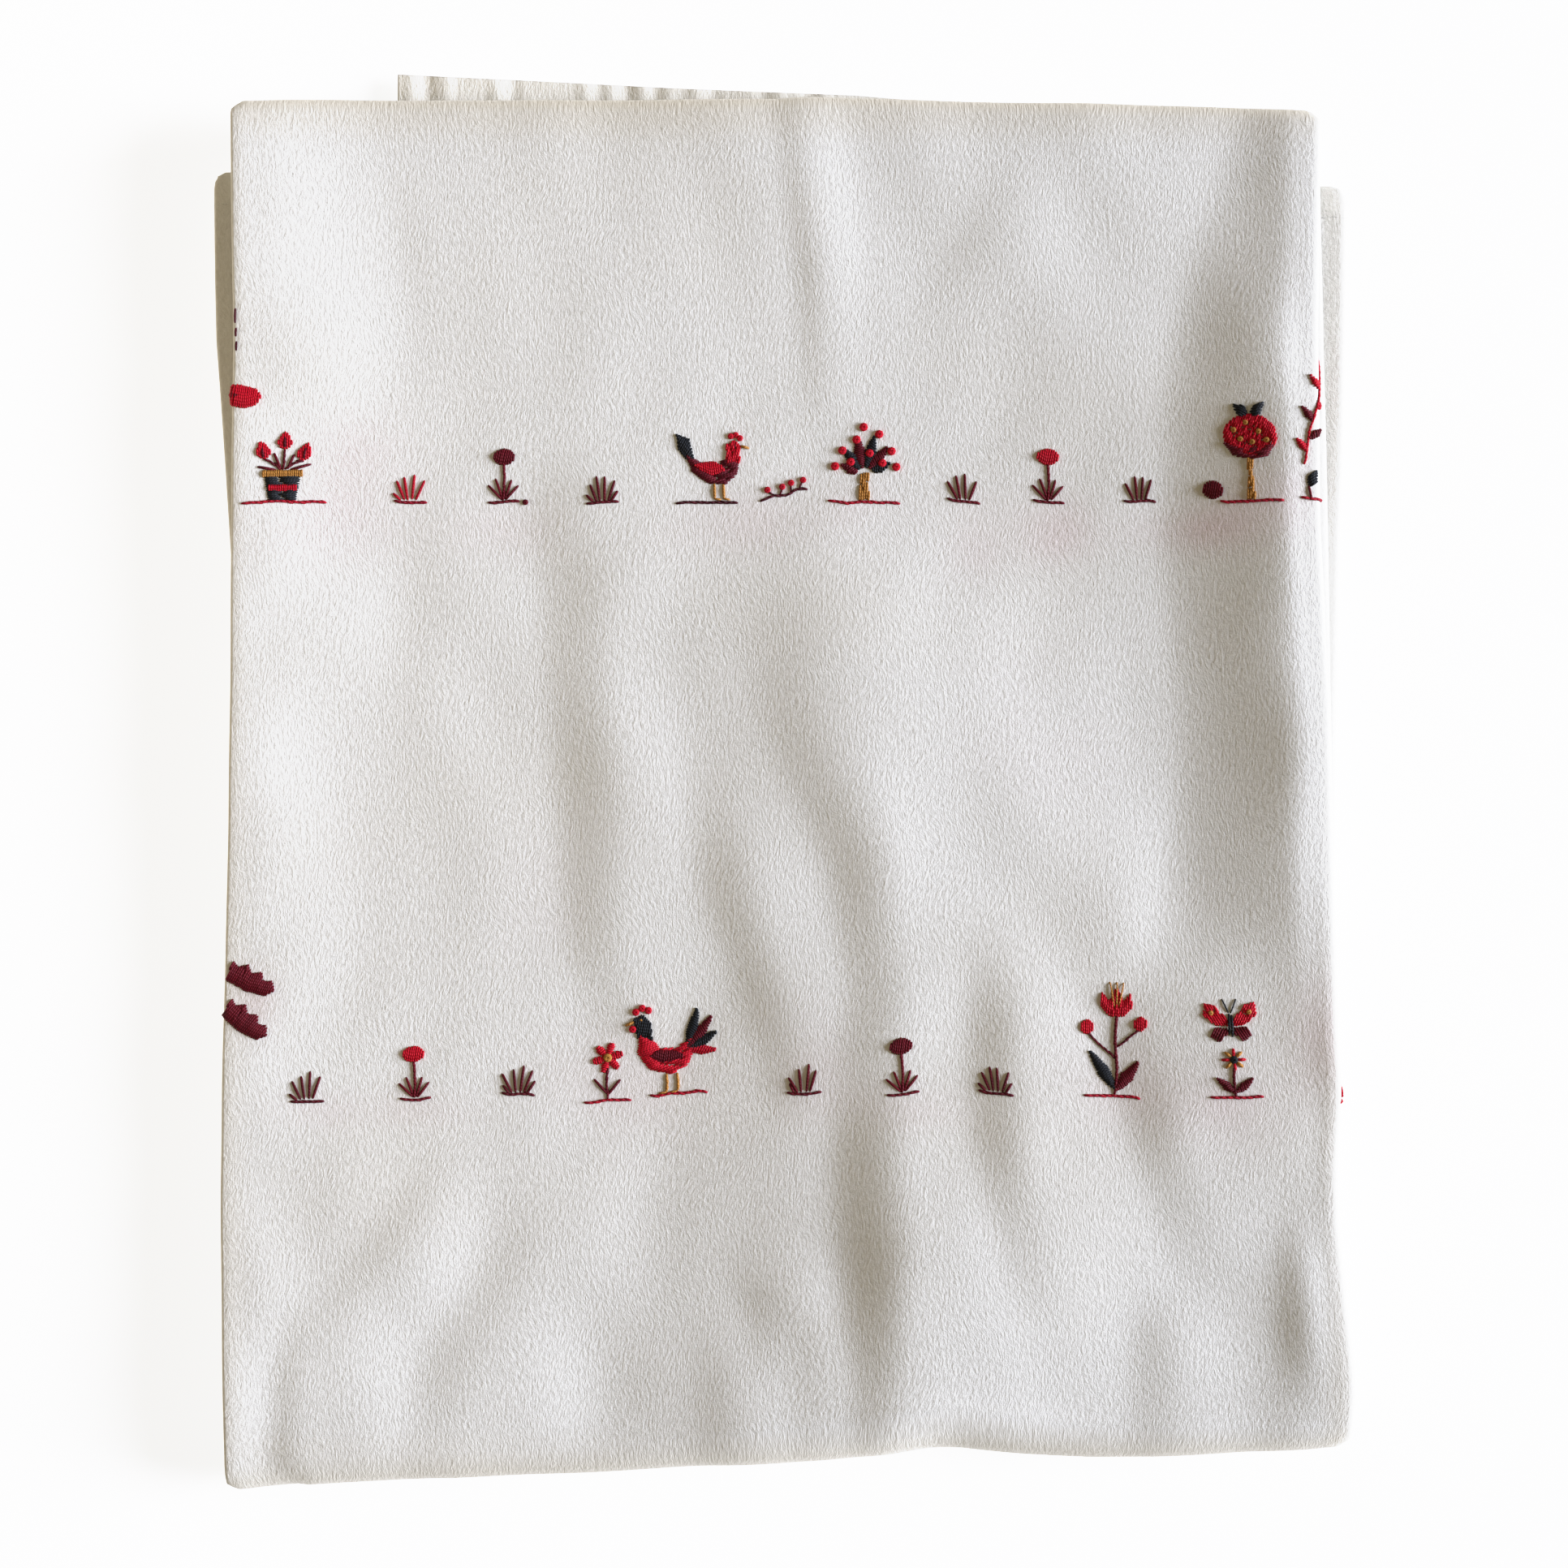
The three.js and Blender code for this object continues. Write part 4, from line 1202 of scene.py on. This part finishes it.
# A fruit tree near the right end of the upper row, with a fallen fruit beside it.
TREE_TRUNK = [(-1.4, -1.0), (1.8, -1.0), (1.2, 9.0), (0.9, 16.5), (-0.8, 16.5), (-0.9, 9.0)]
TREE_SHADE = [(-9.2, 20.0), (-6.0, 15.2), (0.2, 13.8), (6.6, 15.0), (9.6, 19.8), (3.0, 18.0), (-3.4, 18.2)]
TREE_FRUIT = [(-5.6, 24.6), (-1.4, 27.4), (3.2, 24.0), (6.0, 20.8), (-3.2, 21.2), (1.0, 20.2)]
motif = Motif(171.0, 105.4)
ground_line(motif, "red", left=-10.6, right=12.0, tint=0.15, y=-1.6)
satin(motif, "ochre", TREE_TRUNK, 0.3, slant=86)
satin(motif, "red", oval(0.2, 22.6, wide=9.6, high=8.2), 0.12, slant=68, raised=0.6)
satin(motif, "maroon", TREE_SHADE, 0.25, slant=10, raised=0.8)
for place in TREE_FRUIT:
    knot(motif, "ochre", place, 0.1, size=1.2)
satin(motif, "black", leaf_outline((0.4, 29.8), (5.6, 35.0), width=3.8), 0.3, slant=20, raised=0.8)
satin(motif, "black", leaf_outline((-0.4, 29.8), (-6.0, 34.2), width=3.8), 0.3, slant=150, raised=0.8)
satin(motif, "maroon", oval(-13.2, 2.6, wide=3.6, high=3.6), 0.25, slant=80, raised=0.7)

# A climbing spray that goes round the right fold, over a seedling.
SPRAY = [(-2.4, 12.0), (-1.0, 24.0), (2.8, 36.0), (4.4, 47.0), (6.6, 56.0)]
SPRAY_LEAVES = [
    {"base": (-1.4, 17.0), "tip": (-5.8, 21.6), "colour": "red"},
    {"base": (-0.9, 21.6), "tip": (4.4, 25.4), "colour": "maroon"},
    {"base": (0.6, 28.4), "tip": (-3.8, 33.6), "colour": "maroon"},
    {"base": (1.8, 32.8), "tip": (7.0, 36.0), "colour": "red"},
    {"base": (3.4, 40.4), "tip": (-0.8, 45.4), "colour": "red"},
    {"base": (4.6, 47.4), "tip": (9.4, 49.8), "colour": "maroon"},
]
motif = Motif(193.0, 105.0)
stem(motif, "red", SPRAY, 0.1, full=0.8)
for row in SPRAY_LEAVES:
    leaf(motif, row["colour"], row["base"], row["tip"], 3.0, 0.2)
satin(motif, "black", leaf_outline((-1.0, 4.0), (2.4, 10.2), width=4.2), 0.3, slant=36)
straight(motif, "maroon", (0.2, -0.4), (-1.0, 4.4), 0.3, full=0.9)
ground_line(motif, "red", left=-3.6, right=5.4, tint=0.1, y=-0.8)

# Two dark leaf clusters that come round the left fold, above the lower row.
LEAF_CLUSTER = [
    (-6, -3.4), (3.0, -4.6), (10.4, -3.8), (12.8, -0.6), (10.6, 2.6), (7.6, 1.4),
    (5.6, 4.4), (2.4, 2.6), (-0.4, 5.2), (-3.4, 3.2), (-6, 4.2),
]
CLUSTER_PLACES = [{"x": -199.6, "y": -71.4, "turn": -24}, {"x": -201.2, "y": -86.0, "turn": -34}]
for row in CLUSTER_PLACES:
    motif = Motif(row["x"], row["y"])
    motif.turn = math.radians(row["turn"])
    satin(motif, "maroon", LEAF_CLUSTER, 0.12, slant=84, raised=0.8)

# A rooster in the lower row, with a small flower before it.
ROOSTER_BODY = [
    (-7.4, 20.6), (-8.6, 14.0), (-4.6, 8.0), (3.0, 5.6), (9.6, 8.6),
    (12.4, 15.0), (11.2, 18.4), (5.6, 15.0), (0.2, 15.2), (-2.8, 19.0),
]
ROOSTER_NECK = [(-8.4, 19.4), (-2.8, 18.2), (-3.2, 25.0), (-6.0, 28.2), (-9.4, 26.6)]
ROOSTER_FEATHERS = [
    {"tip": (20.4, 20.0), "wide": 4.4, "colour": "black"},
    {"tip": (18.6, 26.0), "wide": 4.6, "colour": "maroon"},
    {"tip": (13.2, 29.4), "wide": 4.4, "colour": "black"},
    {"tip": (20.2, 13.0), "wide": 3.8, "colour": "red"},
]
ROOSTER_COMB = [(-8.6, 29.0), (-6.4, 30.2), (-4.2, 29.2), (-9.8, 23.0)]
ROOSTER_LEGS = [1.4, 5.2]
motif = Motif(-45.0, -113.4)
ground_line(motif, "red", left=-27.5, right=-11.0, tint=0.1, y=-1.6)
ground_line(motif, "red", left=-4.4, right=16.0, tint=0.1, y=-1.4)
satin(motif, "red", ROOSTER_BODY, 0.05, slant=16)
satin(motif, "black", ROOSTER_NECK, 0.25, slant=78, raised=0.7)
rooster_wing = leaf_outline((-3.8, 12.8), (8.6, 12.0), width=6.0, belly=0.38)
satin(motif, "maroon", rooster_wing, 0.3, slant=80, raised=1.0)
for feather in ROOSTER_FEATHERS:
    leaf(motif, feather["colour"], (9.4, 13.8), feather["tip"], feather["wide"], 0.3)
for place in ROOSTER_COMB:
    knot(motif, "red", place, 0.05, size=1.5)
straight(motif, "ochre", (-9.2, 25.6), (-12.4, 24.4), 0.2, raised=0.7)
knot(motif, "ochre", (-6.8, 25.8), 0.1, size=0.7)
for x in ROOSTER_LEGS:
    stem(motif, "ochre", [(x, 6.0), (x + 0.6, 2.4), (x + 0.2, -0.6)], 0.3, full=0.9)
    straight(motif, "ochre", (x + 0.2, -0.6), (x - 2.6, -0.9), 0.3, full=0.8)

# The small flower: six petals round a knot.
PETAL_STEP = 60
PETAL_START = 12
EYE = (-18.8, 13.6)
stem(motif, "maroon", [(-19.0, -1.2), (-19.6, 5.0), (-18.8, 10.0)], 0.4, full=0.85)
for angle in range(PETAL_START, 360 + PETAL_START, PETAL_STEP):
    across, up = math.cos(math.radians(angle)), math.sin(math.radians(angle))
    petal = oval(EYE[0] + 3.4 * across, EYE[1] + 3.4 * up, wide=2.0, high=1.5, tilt=angle, count=10)
    satin(motif, "red", petal, 0.05, slant=angle + 100 - PETAL_START)
knot(motif, "ochre", EYE, 0.1, size=1.8)
straight(motif, "maroon", (-19.2, 0.4), (-24.0, 6.4), 0.4)
straight(motif, "maroon", (-19.2, 0.4), (-14.6, 5.6), 0.4)

# A tall tulip with leaves and two buds in the lower row.
TULIP_CUP = [
    (-4.6, 37.6), (-5.2, 32.2), (-1.8, 28.4), (3.0, 28.4), (6.2, 32.0),
    (5.8, 37.8), (3.2, 34.6), (0.6, 39.8), (-2.0, 34.6),
]
TULIP_BUDS = [((0.6, 17.0), (9.2, 24.6)), ((0.4, 13.4), (-9.8, 22.8))]
STAMENS = [-2.0, 0.6, 3.2]
motif = Motif(121.5, -114.0)
ground_line(motif, "red", left=-11.0, right=9.0, tint=0.1, y=-0.6)
stem(motif, "maroon", [(0, 0), (0.8, 10.0), (0.2, 20.0), (0.8, 29.4)], 0.3)
leaf(motif, "black", (0.2, 2.0), (-9.4, 16.4), 5.0, 0.3)
leaf(motif, "maroon", (0.4, 1.4), (8.8, 13.0), 5.0, 0.2)
satin(motif, "red", TULIP_CUP, 0.02, slant=86, raised=0.7)
for x in STAMENS:
    straight(motif, "ochre", (0.6 + 0.2 * x, 31.0), (x, 41.6), 0.2, full=0.6, raised=1.0)
for base, tip in TULIP_BUDS:
    stem(motif, "maroon", [base, (0.6 * tip[0], 0.5 * (base[1] + tip[1]) + 0.6), tip], 0.4, full=0.75)
    bud = oval(tip[0], tip[1] + 1.6, wide=2.3, high=2.9, tilt=-10)
    satin(motif, "red", bud, 0.05, slant=88, raised=0.7)

# A butterfly over a daisy near the right end of the lower row.
UPPER_WING = [(0.8, 27.6), (5.2, 33.6), (9.2, 34.6), (9.4, 30.0), (5.4, 26.0), (0.9, 25.6)]
LOWER_WING = [(0.9, 25.4), (5.6, 25.6), (7.2, 22.0), (4.6, 19.8), (0.9, 23.4)]
DAISY_EYE = (0.2, 13.6)
motif = Motif(165.6, -114.6)
ground_line(motif, "red", left=-9.0, right=9.6, tint=0.1, y=-0.4)
stem(motif, "maroon", [(0, 0), (-0.6, 6.0), (0.2, 11.4)], 0.4, full=0.95)
leaf(motif, "maroon", (-0.2, 1.6), (-6.6, 7.2), 3.4, 0.3)
leaf(motif, "maroon", (0.2, 1.6), (6.4, 6.8), 3.4, 0.3)
for angle in range(0, 360, 45):
    across, up = math.cos(math.radians(angle)), math.sin(math.radians(angle))
    foot = (DAISY_EYE[0] + 1.1 * across, DAISY_EYE[1] + 1.1 * up)
    tip = (DAISY_EYE[0] + 4.2 * across, DAISY_EYE[1] + 4.0 * up)
    straight(motif, "ochre" if angle % 90 else "red", foot, tip, 0.1, full=1.1)
knot(motif, "black", DAISY_EYE, 0.1, size=1.6)
for side in (-1, 1):
    satin(motif, "red", [(side * x, y) for x, y in UPPER_WING], 0.03, slant=90 - 30 * side)
    satin(motif, "maroon", [(side * x, y) for x, y in LOWER_WING], 0.2, slant=90 + 30 * side)
    knot(motif, "ochre", (side * 6.8, 30.8), 0.1, size=1.1)
    straight(motif, "black", (side * 0.3, 30.4), (side * 2.6, 36.0), 0.2, full=0.55)
satin(motif, "black", oval(0, 26.2, wide=1.1, high=4.8), 0.2, slant=88, raised=0.9)

# The end of the next motif's ground line, which comes round the right fold, and its leaf.
motif = Motif(203.6, -113.4)
stem(motif, "red", [(0.4, -3.8), (2.6, -2.4), (6.0, -3.0)], 0.1, full=0.9)
leaf(motif, "red", (1.6, -1.6), (5.4, 4.6), 3.2, 0.1)

THREAD_COLOURS = {
    "red": ((0.52, 0.0015, 0.016, 1), (0.19, 0.001, 0.014, 1)),
    "maroon": ((0.13, 0.002, 0.010, 1), (0.035, 0.001, 0.006, 1)),
    "black": ((0.012, 0.014, 0.018, 1), (0.003, 0.004, 0.006, 1)),
    "ochre": ((0.46, 0.21, 0.045, 1), (0.30, 0.12, 0.02, 1)),
}
STRAND_SHEEN = 0.02
for colour, stitches in threads.items():
    pale, deep = THREAD_COLOURS[colour]
    cotton = thread_material(colour + " stranded cotton", pale, deep, STRAND_SHEEN)
    piece = make_threads("embroidery_" + colour, stitches, STRAND_RADIUS, STRAND_SIDES, cotton)

# THE FLOOR, THE LIGHT AND THE CAMERA
# A plain pale floor that glows a little, so that it stays white. One broad cool light, low at the right,
# makes the shading; a pale card at the left and a weak warm surround fill the slopes that face away.
FLOOR_HALF = 40000.0
FLOOR_BELOW = 0.0002
FLOOR_CORNERS = [(-1, -1), (1, -1), (1, 1), (-1, 1)]
FLOOR_GREY = (0.93, 0.93, 0.93, 1)
FLOOR_WHITE = (0.96, 0.96, 0.965, 1)
FLOOR_GRAIN = (3, 3, 3)
FLOOR_FINISH = {"Roughness": 0.8, "Emission Color": (0.96, 0.98, 1.0, 1), "Emission Strength": 0.8}
floor_points = [(FLOOR_HALF * x, FLOOR_HALF * y, 0) for x, y in FLOOR_CORNERS]
floor = mesh_object("floor", floor_points, [range(len(floor_points))])
floor.location.z = -FLOOR_BELOW
material, tree, shader = new_material("pale studio floor")
place = add_node(tree, "ShaderNodeTexCoord").outputs["Object"]
floor_colour = mixed(tree, noise_on(tree, place, FLOOR_GRAIN), FLOOR_GREY, FLOOR_WHITE)
tree.links.new(floor_colour, shader.inputs["Base Color"])
set_finish(shader, FLOOR_FINISH)
floor.data.materials.append(material)

WINDOW_STRENGTH = 8.5
WINDOW_ANGLE = 34
WINDOW_COLOUR = (0.815, 0.86, 1.0)
WINDOW_COURSE = Vector((-2.4, -0.06, -0.86))
CARD_POWER = 1.15
CARD_SIZE = (0.3, 0.8)
CARD_COLOUR = (1.0, 0.87, 0.68)
CARD_PLACE = Vector((-0.6, 0.1, 0.34))
CARD_AIM = Vector((-0.15, 0.05, 0.0))
SURROUND_COLOUR = (1.0, 0.79, 0.42, 1)
SURROUND_STRENGTH = 0.19


def shine(light, course):
    """Puts a light into the scene, shining along a course."""
    lamp = bpy.data.objects.new(light.name, light)
    lamp.rotation_euler = course.to_track_quat("-Z", "Y").to_euler()
    bpy.context.scene.collection.objects.link(lamp)
    return lamp


window = bpy.data.lights.new("window", "SUN")
window.energy = WINDOW_STRENGTH
window.angle = math.radians(WINDOW_ANGLE)
window.color = WINDOW_COLOUR
shine(window, WINDOW_COURSE)
card = bpy.data.lights.new("pale card", "AREA")
card.energy = CARD_POWER
card.shape = "RECTANGLE"
card.size, card.size_y = CARD_SIZE
card.color = CARD_COLOUR
card_light = shine(card, CARD_AIM - CARD_PLACE)
card_light.location = CARD_PLACE
card_light.visible_camera = False
world = bpy.data.worlds.new("studio")
world.use_nodes = True
surround = world.node_tree.nodes["Background"]
surround.inputs["Color"].default_value = SURROUND_COLOUR
surround.inputs["Strength"].default_value = SURROUND_STRENGTH
bpy.context.scene.world = world

# The camera's tone curve: plain up to a light grey, and rolled off above it, so that whites keep form.
TONE_REACH = 3.0
ALL_COLOURS = 3
TONES = [(0.0, 0.0), (0.87, 0.87), (1.15, 0.925), (1.55, 0.975), (2.1, 0.99), (3.0, 1.0)]
tone = bpy.context.scene.view_settings
tone.view_transform = "Standard"
tone.use_curve_mapping = True
tone.curve_mapping.white_level = (TONE_REACH, TONE_REACH, TONE_REACH)
curve = tone.curve_mapping.curves[ALL_COLOURS]
while len(curve.points) < len(TONES):
    curve.points.new(0.5, 0.5)
for point, (scene_light, shown_light) in zip(curve.points, TONES):
    point.location = (scene_light / TONE_REACH, shown_light)
    point.handle_type = "VECTOR" if scene_light < 1 else "AUTO"
tone.curve_mapping.update()

# The camera looks straight down on the middle of the bundle.
LENS = 85.0
FILM = 36.0
PHOTO_WIDTH = 0.5796  # what the photograph's frame takes in at the top of the bundle
TOP_OF_BUNDLE = 0.022
camera_data = bpy.data.cameras.new("camera")
camera_data.lens = LENS
camera_data.sensor_width = FILM
camera = bpy.data.objects.new("camera", camera_data)
camera_height = TOP_OF_BUNDLE + PHOTO_WIDTH * LENS / FILM
camera.location = (-SOLID_MIDDLE[0] * MM, -SOLID_MIDDLE[1] * MM, camera_height)
bpy.context.scene.collection.objects.link(camera)
bpy.context.scene.camera = camera
